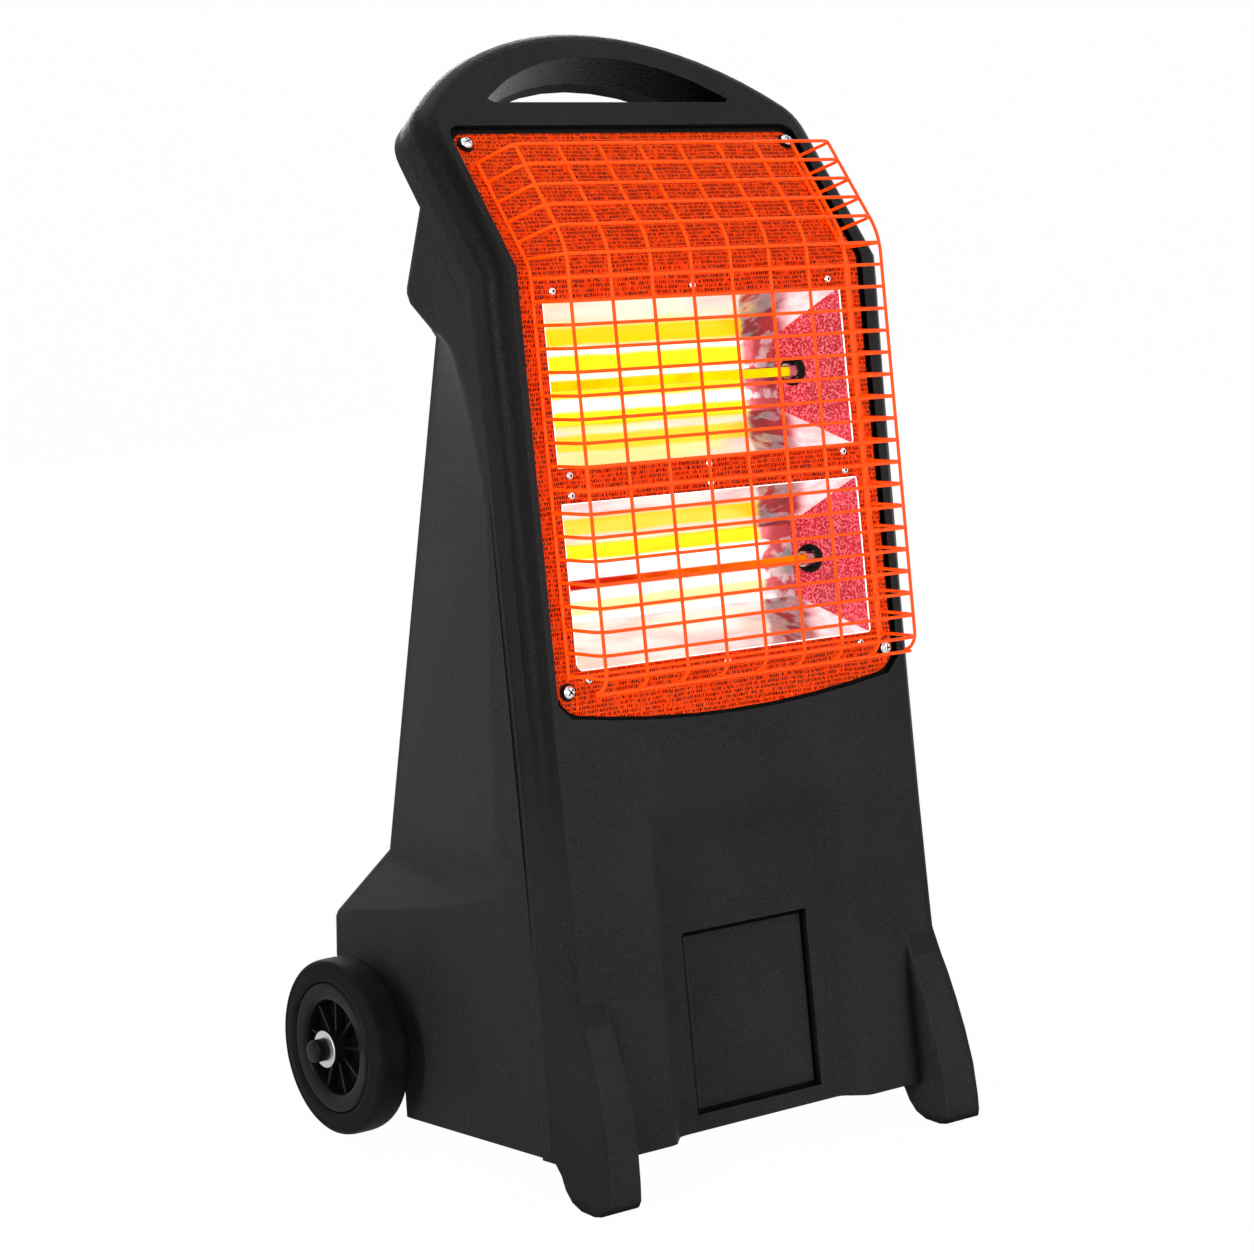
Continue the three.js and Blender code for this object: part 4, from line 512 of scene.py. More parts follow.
class Growth:
    """One Geometry Nodes tree with named inputs, and short ways to add nodes and to grow a mesh."""

    def __init__(self, name, **sizes):
        self.name = name
        self.tree = bpy.data.node_groups.new(name, "GeometryNodeTree")
        self.start = self.tree.nodes.new("NodeGroupInput")
        self.end = self.tree.nodes.new("NodeGroupOutput")
        for way in ("INPUT", "OUTPUT"):
            self.tree.interface.new_socket("Geometry", in_out=way, socket_type="NodeSocketGeometry")
        self.values = {}
        for label, value in sizes.items():
            kind = "NodeSocketInt" if isinstance(value, int) else "NodeSocketFloat"
            socket = self.tree.interface.new_socket(label, in_out="INPUT", socket_type=kind)
            self.values[socket.identifier] = value

    def size(self, label):
        return self.start.outputs[label]

    def shape(self):
        return self.start.outputs["Geometry"]

    def add(self, kind, inputs=None, **settings):
        """A node of the tree: its kind goes without its prefix, unless it isn't a geometry one."""
        named = kind if kind.startswith(("Shader", "Function")) else "GeometryNode" + kind
        node = self.tree.nodes.new(named)
        for name, value in settings.items():
            setattr(node, name, value)
        for socket, value in (inputs or {}).items():
            if isinstance(value, bpy.types.NodeSocket):
                self.tree.links.new(value, node.inputs[socket])
            else:
                node.inputs[socket].default_value = value
        return node

    def math(self, operation, first, second=0.0):
        return self.add("ShaderNodeMath", {0: first, 1: second}, operation=operation).outputs[0]

    def tube(self, curve, wire, sides, caps=True):
        """A round wire of a diameter along a curve."""
        radius = self.math("MULTIPLY", wire, 0.5)
        ring = self.add("CurvePrimitiveCircle", {"Resolution": sides, "Radius": radius}).outputs[0]
        wires = self.add("CurveToMesh", {"Curve": curve, "Profile Curve": ring, "Fill Caps": caps})
        return self.add("SetShadeSmooth", {0: wires.outputs[0]}).outputs[0]

    def wires(self, wire, sides, caps=True):
        """Round wires along the edges of the seed."""
        lines = self.add("MeshToCurve", {"Mesh": self.shape()}).outputs[0]
        return self.tube(lines, wire, sides, caps)

    def copies(self, master, points, **how):
        """Copies of an object on points."""
        shown = self.add("ObjectInfo", {"Object": master, "As Instance": True}).outputs["Geometry"]
        return self.add("InstanceOnPoints", {"Points": points, "Instance": shown, **how}).outputs[0]

    def grow(self, geometry, material, seed=None):
        """Ends the tree, grows the seed mesh through it and gives back the plain mesh."""
        real = self.add("RealizeInstances", {"Geometry": geometry}).outputs[0]
        dressed = self.add("SetMaterial", {"Geometry": real, "Material": material}).outputs[0]
        self.tree.links.new(dressed, self.end.inputs[0])
        holder = linked(self.name, seed or bpy.data.meshes.new(self.name))
        modifier = holder.modifiers.new(self.name, "NODES")
        modifier.node_group = self.tree
        for identifier, value in self.values.items():
            modifier[identifier] = value
        mesh = plain_mesh(holder)
        holder.modifiers.clear()
        bpy.data.objects.remove(holder)
        mesh.name = self.name
        return outward(mesh)


def outward(mesh, place=None):
    """Turns every face of closed shapes outwards, after moving the mesh to its place."""
    if place is not None:
        mesh.transform(place)
    shape = bmesh.new()
    shape.from_mesh(mesh)
    bmesh.ops.recalc_face_normals(shape, faces=shape.faces)
    shape.to_mesh(mesh)
    shape.free()
    return mesh


def shaded(shape, name, crease=32.0, turn=True):
    """Makes a mesh of a shape, smooth except across edges that are sharper than the crease."""
    if turn:
        bmesh.ops.recalc_face_normals(shape, faces=shape.faces)
    for face in shape.faces:
        face.smooth = True
    for edge in shape.edges:
        edge.smooth = len(edge.link_faces) == 2 and edge.calc_face_angle(0) < math.radians(crease)
    mesh = bpy.data.meshes.new(name)
    shape.to_mesh(mesh)
    shape.free()
    return mesh


def eased(points, closed=False, steps=4):
    """Rounds the corners of a line of points, each given with how far it is rounded."""
    made = []
    for i, (here, ease) in enumerate(points):
        if not ease or (not closed and i in (0, len(points) - 1)):
            made.append(here)
            continue
        before = points[i - 1][0] - here
        after = points[(i + 1) % len(points)][0] - here
        start = here + before.normalized() * min(ease, before.length * 0.48)
        end = here + after.normalized() * min(ease, after.length * 0.48)
        for step in range(steps + 1):
            t = step / steps
            made.append(start * (1 - t) ** 2 + here * (2 * t * (1 - t)) + end * t ** 2)
    return made


def turned(profile, steps=96, shape=None):
    """A body turned about Z from (radius, height, ease) corners.  It closes on the axis or on itself."""
    line = eased([(Vector((r, h)), ease) for r, h, ease in profile], closed=profile[0][0] > 0)
    shape = shape or bmesh.new()
    rings = []
    for point in line:
        if point.x < 1e-7:
            rings.append([shape.verts.new((0, 0, point.y))])
        else:
            turns = [math.tau * i / steps for i in range(steps)]
            rings.append([shape.verts.new((point.x * math.cos(turn), point.x * math.sin(turn), point.y))
                          for turn in turns])
    pairs = list(zip(rings, rings[1:]))
    if profile[0][0] > 0:
        pairs.append((rings[-1], rings[0]))
    for one, two in pairs:
        for i in range(steps):
            j = (i + 1) % steps
            corners = [one[i % len(one)], one[j % len(one)], two[j % len(two)], two[i % len(two)]]
            face = list(dict.fromkeys(corners))
            if len(face) > 2:
                shape.faces.new(face)
    return shape


def line_seed(name, lines, closed=False):
    """A mesh of nothing but edges along each line of points."""
    points, edges = [], []
    for line in lines:
        last = len(line) if closed else len(line) - 1
        edges += [(len(points) + i, len(points) + (i + 1) % len(line)) for i in range(last)]
        points += [tuple(point) for point in line]
    seed = bpy.data.meshes.new(name)
    seed.from_pydata(points, edges, [])
    return seed


def linked(name, mesh):
    item = bpy.data.objects.new(name, mesh)
    bpy.context.scene.collection.objects.link(item)
    return item


def plain_mesh(item):
    """The mesh of an object with its modifiers applied."""
    return bpy.data.meshes.new_from_object(item.evaluated_get(bpy.context.evaluated_depsgraph_get()))


def block(shape, low, high):
    """Adds a plain block between two corners."""
    corners = [shape.verts.new(place) for place in itertools.product(*zip(low, high))]
    for side in ((0, 1, 3, 2), (4, 6, 7, 5), (0, 4, 5, 1), (2, 3, 7, 6), (0, 2, 6, 4), (1, 5, 7, 3)):
        shape.faces.new([corners[i] for i in side])
    return shape


def facing(direction, place, top=Vector((1, 0, 0))):
    """A frame at a place whose Z looks along a direction."""
    z = direction.normalized()
    y = z.cross(top).normalized()
    x = y.cross(z)
    made = Matrix((x, y, z)).transposed().to_4x4()
    made.translation = place
    return made


def dress(node_names, material):
    """Gives CAD nodes a better material."""
    for name in node_names:
        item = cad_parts[name]
        item.data.materials.clear()
        item.data.materials.append(material)


def piece(name, mesh, body, slot, material=None, replaces=()):
    """A finished piece: named, at the origin, riding on its body."""
    item = linked(name, mesh)
    if material is not None:
        mesh.materials.clear()
        mesh.materials.append(material)
    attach(item, body)
    if replaces:
        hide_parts(*replaces)
    return item


def softened(node, body, material, crease=32.0, edge=0.0, sheet=False):
    """A smooth copy of a CAD node in its place, with its doubles merged, its flats joined and,
    where it has plain long edges, those edges broken."""
    shape = bmesh.new()
    shape.from_mesh(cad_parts[node].data)
    bmesh.ops.remove_doubles(shape, verts=shape.verts, dist=2e-6)
    bmesh.ops.dissolve_limit(shape, angle_limit=math.radians(0.4), verts=shape.verts, edges=shape.edges,
                             delimit={"NORMAL"})
    if sheet:
        round_low_corners(shape)
        follow_sheet(shape)
    item = linked(node + "_shown", shaded(shape, node + "_shown", crease, turn=False))
    item.data.materials.append(material)
    if edge:
        broken = item.modifiers.new("broken_edges", "BEVEL")
        broken.width = edge
        broken.segments = 2
        broken.limit_method = "ANGLE"
        broken.angle_limit = math.radians(45)
        broken.harden_normals = False
    weigh = item.modifiers.new("even_shading", "WEIGHTED_NORMAL")
    weigh.keep_sharp = True
    weigh.weight = 70
    plain = plain_mesh(item)
    item.modifiers.clear()
    item.data = plain
    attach(item, body)
    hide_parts(node)
    return item


def round_low_corners(shape):
    """Rounds the two cut corners at the bottom of the folded sheet."""
    corners = [edge for edge in shape.edges
               if len(edge.link_faces) == 2 and edge.calc_face_angle() > math.radians(20)
               and all(abs(v.co.x) > 0.155 and v.co.z < KNEE_HEIGHT - 0.3 for v in edge.verts)
               and abs((edge.verts[1].co - edge.verts[0].co).normalized().dot(LOWER_OUT)) > 0.99]
    bmesh.ops.bevel(shape, geom=corners, offset=CORNER_ROUND, segments=5, profile=0.5, affect="EDGES")


def follow_sheet(shape):
    """Lays a map on a folded sheet: across it, and up along it from the knee, both in metres."""
    layer = shape.loops.layers.uv.new("sheet")
    split = math.tan((UPPER_LEAN - LOWER_LEAN) / 2)
    for face in shape.faces:
        for loop in face.loops:
            x, y, z = loop.vert.co
            y, z = y - KNEE_DEPTH, z - KNEE_HEIGHT
            low = y * math.sin(LOWER_LEAN) + z * math.cos(LOWER_LEAN)
            out = z * math.sin(LOWER_LEAN) - y * math.cos(LOWER_LEAN)
            high = y * math.sin(UPPER_LEAN) + z * math.cos(UPPER_LEAN)
            loop[layer].uv = (x, high if low > out * split else low)


def pair(stem):
    return [stem + "_left", stem + "_right"]


def four(stem):
    return [f"{stem}_{level}_{side}" for level in ("upper", "lower") for side in ("left", "right")]


def show_white(tree, lit, white, share, output):
    """Shows a share of plain white to the camera, and in gloss and glass, over what lights the scene."""
    ray = tree.nodes.new("ShaderNodeLightPath")
    seen = ray.outputs["Is Camera Ray"]
    glossy, through = ray.outputs["Is Glossy Ray"], ray.outputs["Is Transmission Ray"]
    for operation, value in (("MAXIMUM", glossy), ("MAXIMUM", through), ("MULTIPLY", None)):
        step = tree.nodes.new("ShaderNodeMath")
        step.operation = operation
        step.inputs[1].default_value = share
        tree.links.new(seen, step.inputs[0])
        if value is not None:
            tree.links.new(value, step.inputs[1])
        seen = step.outputs[0]
    mix = tree.nodes.new("ShaderNodeMixShader")
    for i, socket in enumerate((seen, lit.outputs[0], white.outputs[0])):
        tree.links.new(socket, mix.inputs[i])
    tree.links.new(mix.outputs[0], tree.nodes[output].inputs["Surface"])


class HEATER_OT_stage(bpy.types.Operator):
    """Make the floor, the lights and the camera"""

    bl_idname = "heater.stage"
    bl_label = "Studio"

    def execute(self, context):
        scene = context.scene
        settings = scene.heater_stage
        scene.view_settings.view_transform = "Standard"

        lens = bpy.data.cameras.new("heater_camera")
        lens.lens = settings.focal_length
        lens.sensor_width = 36
        camera = linked("heater_camera", lens)
        camera.location = CAMERA_PLACE
        camera.rotation_euler = (math.pi / 2 - CAMERA_TILT, 0, -CAMERA_TURN)
        scene.camera = camera

        floor = bpy.data.materials.new("studio_floor")
        floor.use_nodes = True
        tree = floor.node_tree
        surface = tree.nodes["Principled BSDF"]
        surface.inputs["Base Color"].default_value = (*settings.floor_colour, 1)
        surface.inputs["Roughness"].default_value = 0.9
        surface.inputs["Specular IOR Level"].default_value = 0.0
        white = tree.nodes.new("ShaderNodeEmission")
        show_white(tree, surface, white, settings.floor_white, "Material Output")

        # The floor runs back and rises in one sweep behind the heater, square to the camera.
        ahead = Vector((math.sin(CAMERA_TURN), math.cos(CAMERA_TURN), 0))
        aside = Vector((ahead.y, -ahead.x, 0)) * 9.0
        near, back, bend, top = -7.0, 3.0, 1.6, 6.0
        arc = [math.pi / 2 * i / 16 for i in range(1, 17)]
        profile = [(near, 0.0), (back, 0.0)]
        profile += [(back + bend * math.sin(t), bend - bend * math.cos(t)) for t in arc]
        profile.append((back + bend, top))
        sweep = bmesh.new()
        rows = [[sweep.verts.new(ahead * depth + aside * side + Vector((0, 0, height))) for side in (-1, 1)]
                for depth, height in profile]
        for one, two in zip(rows, rows[1:]):
            sweep.faces.new((one[0], one[1], two[1], two[0])).smooth = True
        mesh = bpy.data.meshes.new("studio_floor")
        sweep.to_mesh(mesh)
        sweep.free()
        mesh.materials.append(floor)
        linked("studio_floor", mesh)

        world = bpy.data.worlds.new("studio_room")
        world.use_nodes = True
        scene.world = world
        tree = world.node_tree
        room = tree.nodes["Background"]
        room.inputs["Strength"].default_value = settings.room_light
        room.inputs["Color"].default_value = (1, 1, 1, 1)
        shown = tree.nodes.new("ShaderNodeBackground")
        shown.inputs["Color"].default_value = (1, 1, 1, 1)
        show_white(tree, room, shown, 1.0, "World Output")

        # Each lamp's power, width and height, where it hangs, and how high on the heater it aims.
        for name, watts, width, height, place, aim in (
            ("key_light", settings.key_power, 2.2, 2.2, (1.7, -2.9, 1.6), 0.5),
            ("rim_light", settings.rim_power, 0.07, 2.4, (-3.0, -0.9, 1.3), 0.5),
            ("side_light", settings.side_power, 2.0, 2.0, (-2.9, -0.4, 1.2), 0.4),
            ("fill_light", settings.fill_power, 2.0, 1.4, (-0.9, -3.2, 0.8), 0.6),
            ("top_light", settings.top_power, 1.6, 1.6, (-0.3, 0.6, 2.7), 0.5),
            ("back_light", settings.back_power, 2.4, 2.0, (1.5, 3.1, 1.5), 0.4),
        ):
            lamp = bpy.data.lights.new(name, "AREA")
            lamp.energy = watts
            lamp.shape = "RECTANGLE"
            lamp.size = width
            lamp.size_y = height
            holder = linked(name, lamp)
            holder.location = place
            holder.rotation_euler = (Vector((0, 0, aim)) - Vector(place)).to_track_quat("-Z", "Y").to_euler()
        return {"FINISHED"}


class HEATER_OT_shells(bpy.types.Operator):
    """Finish the front and rear shells, the base cover and the hatch in grained black plastic"""

    bl_idname = "heater.shells"
    bl_label = "Shells"

    def execute(self, context):
        plastic = finish_of("plastic", moulded_plastic, "moulded_plastic", 0.015, 1.0, (0.34, 0.5))
        front = softened("front_shell", "chassis", plastic)
        # The bead round the front shell is smoother than its flats, and is painted darker than them as painted
        # shade on its rounded faces.
        bead = finish_of("bead", moulded_plastic, "handled_plastic", 0.09, 0.08, (0.2, 0.36), (0.7, 0.95))
        front.data.materials.append(bead)
        for face in front.data.polygons:
            outside = abs(face.center.x) > BEAD_ACROSS or face.center.z > BEAD_HEIGHT
            if outside and all(face.normal.dot(flat) < 0.985 for flat in (LOWER_OUT, UPPER_OUT)):
                face.material_index = 1
        softened("rear_shell", "chassis", plastic)
        softened("hatch_door", "hatch", plastic)
        dress(["base_cover"], plastic)
        dress(["hatch_pin"], finish_of("smooth_plastic"))
        return {"FINISHED"}


class HEATER_OT_fascia(bpy.types.Operator):
    """Finish the embossed sheet that carries the lamps"""

    bl_idname = "heater.fascia"
    bl_label = "Fascia Sheet"

    def execute(self, context):
        softened("fascia_plate", "chassis", finish_of("sheet", embossed_sheet), sheet=True)
        dress(four("fascia_washer"), finish_of("smooth_plastic"))
        dress(pair("case_screw"), finish_of("plain_steel"))
        return {"FINISHED"}


def screw_die():
    """One domed screw of head diameter 1, with a cross recess, a collar and a short shank."""
    shape = turned([(0.0, 0.3, 0), (0.2, 0.29, 0), (0.36, 0.235, 0.1), (0.5, 0.07, 0.08), (0.5, 0.0, 0.02),
                    (0.22, 0.0, 0.02), (0.22, -0.7, 0.05), (0.0, -0.7, 0)], 32)
    head = linked("screw_die", shaded(shape, "screw_die", 40))
    long, narrow, floor, above = 0.31, 0.055, 0.13, 0.6
    tools = []
    for x, y in ((long, narrow), (narrow, long)):
        slot = block(bmesh.new(), (-x, -y, floor), (x, y, above))
        tools.append(linked("screw_slot", shaded(slot, "screw_slot")))
        cut = head.modifiers.new("recess", "BOOLEAN")
        cut.object = tools[-1]
        cut.operation = "DIFFERENCE"
        cut.solver = "EXACT"
    mesh = plain_mesh(head)
    for item in (head, *tools):
        bpy.data.objects.remove(item)
    return mesh


def rivet_die():
    """One blind rivet of head diameter 1, domed, with the dimple that its mandrel leaves."""
    shape = turned([(0.0, 0.02, 0), (0.17, 0.04, 0), (0.2, 0.24, 0.04), (0.38, 0.2, 0.1), (0.5, 0.02, 0.06),
                    (0.5, -0.06, 0), (0.0, -0.06, 0)], 20)
    return shaded(shape, "rivet_die", 60)


def stamped(name, die, places, size, material):
    """Geometry Nodes: a die set on points that each carry the way they face."""
    seed = bpy.data.meshes.new(name)
    seed.from_pydata([tuple(place.translation) for place in places], [], [])
    turns = seed.attributes.new("turn", "FLOAT_VECTOR", "POINT")
    for i, place in enumerate(places):
        turns.data[i].vector = place.to_euler()
    master = linked(name + "_die", die)
    growth = Growth(name, Head=size)
    points = growth.add("MeshToPoints", {"Mesh": growth.shape()}).outputs[0]
    turn = growth.add("InputNamedAttribute", {"Name": "turn"}, data_type="FLOAT_VECTOR").outputs[0]
    rotation = growth.add("FunctionNodeEulerToRotation", {0: turn}).outputs[0]
    scale = growth.add("ShaderNodeCombineXYZ", {i: growth.size("Head") for i in range(3)}).outputs[0]
    mesh = growth.grow(growth.copies(master, points, Rotation=rotation, Scale=scale), material, seed)
    bpy.data.objects.remove(master)
    return mesh


class HEATER_OT_fasteners(bpy.types.Operator):
    """Make the domed screws in the fascia's corners and the rivets round the reflectors"""

    bl_idname = "heater.fasteners"
    bl_label = "Screws and Rivets"

    def execute(self, context):
        sizes = context.scene.heater_sizes
        chrome = finish_of("chrome", bright_chrome)
        spots = []
        # Each screw stopped with its cross at a turn of its own.
        for side, twist in ((-1, 0.3), (1, 1.1)):
            for out, place, turn in (
                (UPPER_OUT, on_upper_face(side * SCREW_ACROSS, UPPER_SCREW, WASHER_THICKNESS), twist),
                (LOWER_OUT, on_lower_face(side * SCREW_ACROSS, LOWER_SCREW, WASHER_THICKNESS), twist + 0.5),
            ):
                spots.append(facing(out, place) @ Matrix.Rotation(turn, 4, "Z"))
        piece("fascia_screws_shown", stamped("fascia_screws", screw_die(), spots, sizes.screw_head, chrome),
              "chassis", "chrome", replaces=four("fascia_screw"))
        spots = [facing(LOWER_OUT, on_lower_face(x, s, 0.0)) for x in RIVETS_ACROSS for s in RIVETS_ALONG]
        piece("reflector_rivets", stamped("reflector_rivets", rivet_die(), spots, sizes.rivet_head, chrome),
              "chassis", "chrome")
        return {"FINISHED"}


def guard_lines(bend):
    """The middle lines of the guard's wires: rows over columns, and a base wire at each side."""
    wire, bite, height, half, reach = 0.0026, 0.0004, 0.047, 0.165, 0.168
    front, base = height + wire - bite, 0.0016
    upper_pitch, lower_pitch = 0.0204, 0.0185
    curl_along, curl_out, curl_radius = -0.322, 0.032, 0.015
    lines = []
    # Each row's legs lean: they stand on the side wires a little higher than the row itself lies.
    rows = [(on_upper_face, 0.086 - upper_pitch * i, on_upper_face, 0.1064 - upper_pitch * i) for i in range(5)]
    rows.append((on_lower_face, 0.0065, on_upper_face, 0.008))
    rows += [(on_lower_face, 0.0065 - lower_pitch * i, on_lower_face, 0.0105 - lower_pitch * i)
             for i in range(1, 19)]
    for place, along, stand, foot in rows:
        lines.append(eased([(stand(-reach, foot, base), 0), (place(-reach, along, front), bend),
                            (place(reach, along, front), bend), (stand(reach, foot, base), 0)], steps=5))
    knee = math.tan((UPPER_LEAN - LOWER_LEAN) / 2)
    for i in range(9):
        x = -half + 2 * half * i / 8
        curl = []
        for turn in [math.radians(84) * k / 8 for k in range(8, 0, -1)]:
            down, out = curl_radius * math.sin(turn), curl_radius * math.cos(turn)
            curl.append((on_lower_face(x, curl_along - down, curl_out + out), 0))
        lines.append(eased(curl + [(on_lower_face(x, curl_along, height), 0),
                                   (on_lower_face(x, height * knee, height), 0.017),
                                   (on_upper_face(x, 0.0873, height), 0)], steps=8))
    for side in (-1, 1):
        lines.append(eased([(on_lower_face(side * reach, -0.3258, base), 0),
                            (on_lower_face(side * reach, base * knee, base), 0.012),
                            (on_upper_face(side * reach, 0.1072, base), 0)], steps=5))
    lines.append([on_lower_face(-reach, -0.3245, base), on_lower_face(reach, -0.3245, base)])
    # One more row crosses the wires outside their curl.
    last, outer = math.radians(75), 0.0172
    low = (curl_along - outer * math.sin(last), curl_out + outer * math.cos(last))
    lines.append([on_lower_face(-reach, *low), on_lower_face(reach, *low)])
    return lines


class HEATER_OT_guard(bpy.types.Operator):
    """Make the guard of round welded wires"""

    bl_idname = "heater.guard"
    bl_label = "Wire Guard"

    def execute(self, context):
        sizes = context.scene.heater_sizes
        seed = line_seed("wire_guard_lines", guard_lines(sizes.wire_bend))
        growth = Growth("wire_guard_shown", Wire=float(sizes.guard_wire), Sides=10)
        wires = growth.wires(growth.size("Wire"), growth.size("Sides"))
        mesh = growth.grow(wires, finish_of("wire", coated_wire), seed)
        piece("wire_guard_shown", mesh, "chassis", "orange_wire", replaces=["wire_guard"])
        return {"FINISHED"}


class HEATER_OT_reflectors(bpy.types.Operator):
    """Finish the troughs behind the lamps with painted reflections, their bright lips with a painted glow and
    their hammered ends with a painted crimson glow
    """

    bl_idname = "heater.reflectors"
    bl_label = "Reflectors"

    def execute(self, context):
        # Each band of painted glow, a painted reflection of the lamp: where it lies along the trough's height,
        # half its width, its strength.
        upper = ((0.040, 0.0066, 1.0), (0.018, 0.0078, 1.0), (-0.0035, 0.0076, 1.0), (-0.027, 0.006, 1.0),
                 (-0.047, 0.007, 0.95))
        lower = ((0.047, 0.0068, 1.0), (0.026, 0.0066, 1.0), (-0.0195, 0.0055, 0.62))
        # The pale colours of the painted glow between the bands.
        bright = ((1.0, 0.97, 0.93), (0.88, 0.76, 0.74))
        pinkish = ((1.0, 0.95, 0.94), (0.76, 0.6, 0.62))
        dress(["reflector_upper"], finish_of("trough_upper", trough_painted_reflections, "upper", upper, bright, 0.8))
        dress(["reflector_lower"], finish_of("trough_lower", trough_painted_reflections, "lower", lower, pinkish, 0.3))
        dress(four("reflector_end"), finish_of("hammered", hammered_sheet))
        for level, centre in LAMPS.items():
            inset = 0.0004
            across, rise = OPENING_HALF - inset, OPENING_RISE - inset
            corners = [(on_lower_face(x * across, centre + s * rise, -0.0006), 0.0035)
                       for x, s in ((-1, -1), (1, -1), (1, 1), (-1, 1))]
            seed = line_seed("lip_line", [eased(corners, closed=True)], closed=True)
            growth = Growth("reflector_lip_" + level, Lip=0.0011, Sides=8)
            roll = growth.wires(growth.size("Lip"), growth.size("Sides"), caps=False)
            mesh = growth.grow(roll, finish_of("lip_painted_glow"), seed)
            piece("reflector_lip_" + level, mesh, "chassis", "bright_sheet")
        return {"FINISHED"}


# The dark ring round a lamp's end, turned like the wheels' parts: painted shade that fills the hole in the
# reflector's end round the lamp.
LAMP_HOLE_SHADE_RING = [(0.0078, -0.0006, 0), (0.0124, -0.0006, 0.0002), (0.0124, 0.0006, 0.0004),
                (0.0112, 0.0012, 0.0004), (0.0078, -0.0002, 0.0002)]


class HEATER_OT_lamps(bpy.types.Operator):
    """Finish the quartz lamps with coiled filaments, their caps and holders"""

    bl_idname = "heater.lamps"
    bl_label = "Lamps"

    def execute(self, context):
        sizes = context.scene.heater_sizes
        # The colours of each filament's cool and hot ends.
        shades = {"upper": ((1.0, 0.55, 0.0), (1.0, 0.66, 0.0)), "lower": ((0.5, 0.004, 0.0), (1.0, 0.2, 0.0))}
        for level, centre in LAMPS.items():
            softened("lamp_tube_" + level, "chassis", finish_of("quartz", clear_quartz))
            name = level + "_filament"
            growth = Growth("filament_coil_" + level, Turns=float(sizes.filament_turns), Coil=0.0031,
                            Length=FILAMENT_LENGTH, Wire=0.0015)
            spiral = growth.add("CurveSpiral", {
                "Resolution": 12, "Rotations": growth.size("Turns"), "Start Radius": growth.size("Coil"),
                "End Radius": growth.size("Coil"), "Height": growth.size("Length")}).outputs[0]
            coil = growth.tube(spiral, growth.size("Wire"), 5)
            mesh = growth.grow(coil, finish_of(name, hot_filament, name, *shades[level], 1.0))
            start = on_lower_face(-FILAMENT_LENGTH / 2, centre, LAMP_OUT)
            outward(mesh, Matrix.Translation(start) @ Matrix.Rotation(math.pi / 2, 4, "Y"))
            piece("filament_coil_" + level, mesh, "chassis", "filament", replaces=["lamp_filament_" + level])
        for name in four("lamp_cap"):
            softened(name, "chassis", finish_of("chrome", bright_chrome))
        dress(four("lamp_holder"), finish_of("dark_ceramic"))
        # Each lamp's end gets a dark ring, painted shade that fills the hole it passes through.
        slope = Vector((OPENING_HALF - REFLECTOR_BACK, REFLECTOR_DEPTH - 0.0013)).normalized()
        reach = REFLECTOR_BACK + (REFLECTOR_DEPTH + LAMP_OUT) * slope.x / slope.y
        for side, hand in ((-1, "left"), (1, "right")):
            for level, centre in LAMPS.items():
                middle = on_lower_face(side * (reach - 0.0004), centre, LAMP_OUT)
                seat = facing(Vector((-side * slope.y, 0, 0)) + LOWER_OUT * slope.x, middle, Vector((0, 0, 1)))
                name = f"lamp_grommet_{level}_{hand}"
                mesh = outward(shaded(turned(LAMP_HOLE_SHADE_RING, 48), name), seat)
                piece(name, mesh, "chassis", "black_plastic", finish_of("dark_ceramic"))
        return {"FINISHED"}


# Profiles of the turned parts of a wheel, from the bore out and round: radius, height above the
# inner face of the tyre, and how far the corner is eased.
TYRE = [(0.056, 0.001, 0.001), (0.064, 0.0, 0.002), (0.0725, 0.003, 0.004), (0.075, 0.010, 0.005),
        (0.075, 0.0285, 0.004), (0.0738, 0.0330, 0.002), (0.0700, 0.0352, 0.0018),
        (0.0690, 0.0344, 0.0006), (0.0600, 0.0358, 0.0030), (0.0560, 0.0338, 0.0014)]
RIM_RING = [(0.040, 0.003, 0.0012), (0.0556, 0.003, 0.0012), (0.0556, 0.0332, 0.0016),
            (0.0532, 0.0344, 0.0016), (0.0425, 0.0337, 0.003), (0.040, 0.031, 0.0016)]
RIM_WEB = [(0.0064, 0.016, 0), (0.0402, 0.016, 0), (0.0402, 0.020, 0), (0.0064, 0.020, 0)]
RIM_HUB = [(0.0064, 0.0, 0), (0.0135, 0.0, 0.001), (0.014, 0.0385, 0.001), (0.0064, 0.0385, 0)]
# Two opposite corners of one rib.
RIM_RIB = ((0.0136, -0.0011, 0.0195), (0.0402, 0.0011, 0.029))
HUB_WASHER = [(0.0064, 0.0393, 0), (0.0158, 0.0393, 0.0006), (0.0158, 0.0408, 0.0008),
              (0.0120, 0.0412, 0.0012), (0.0064, 0.0412, 0.0003)]
AXLE_CAP = [(0.0, 0.0534, 0), (0.0075, 0.0532, 0.002), (0.0095, 0.0515, 0.0014),
            (0.0097, 0.0414, 0.0004), (0.0063, 0.0414, 0), (0.0063, 0.050, 0), (0.0, 0.050, 0)]


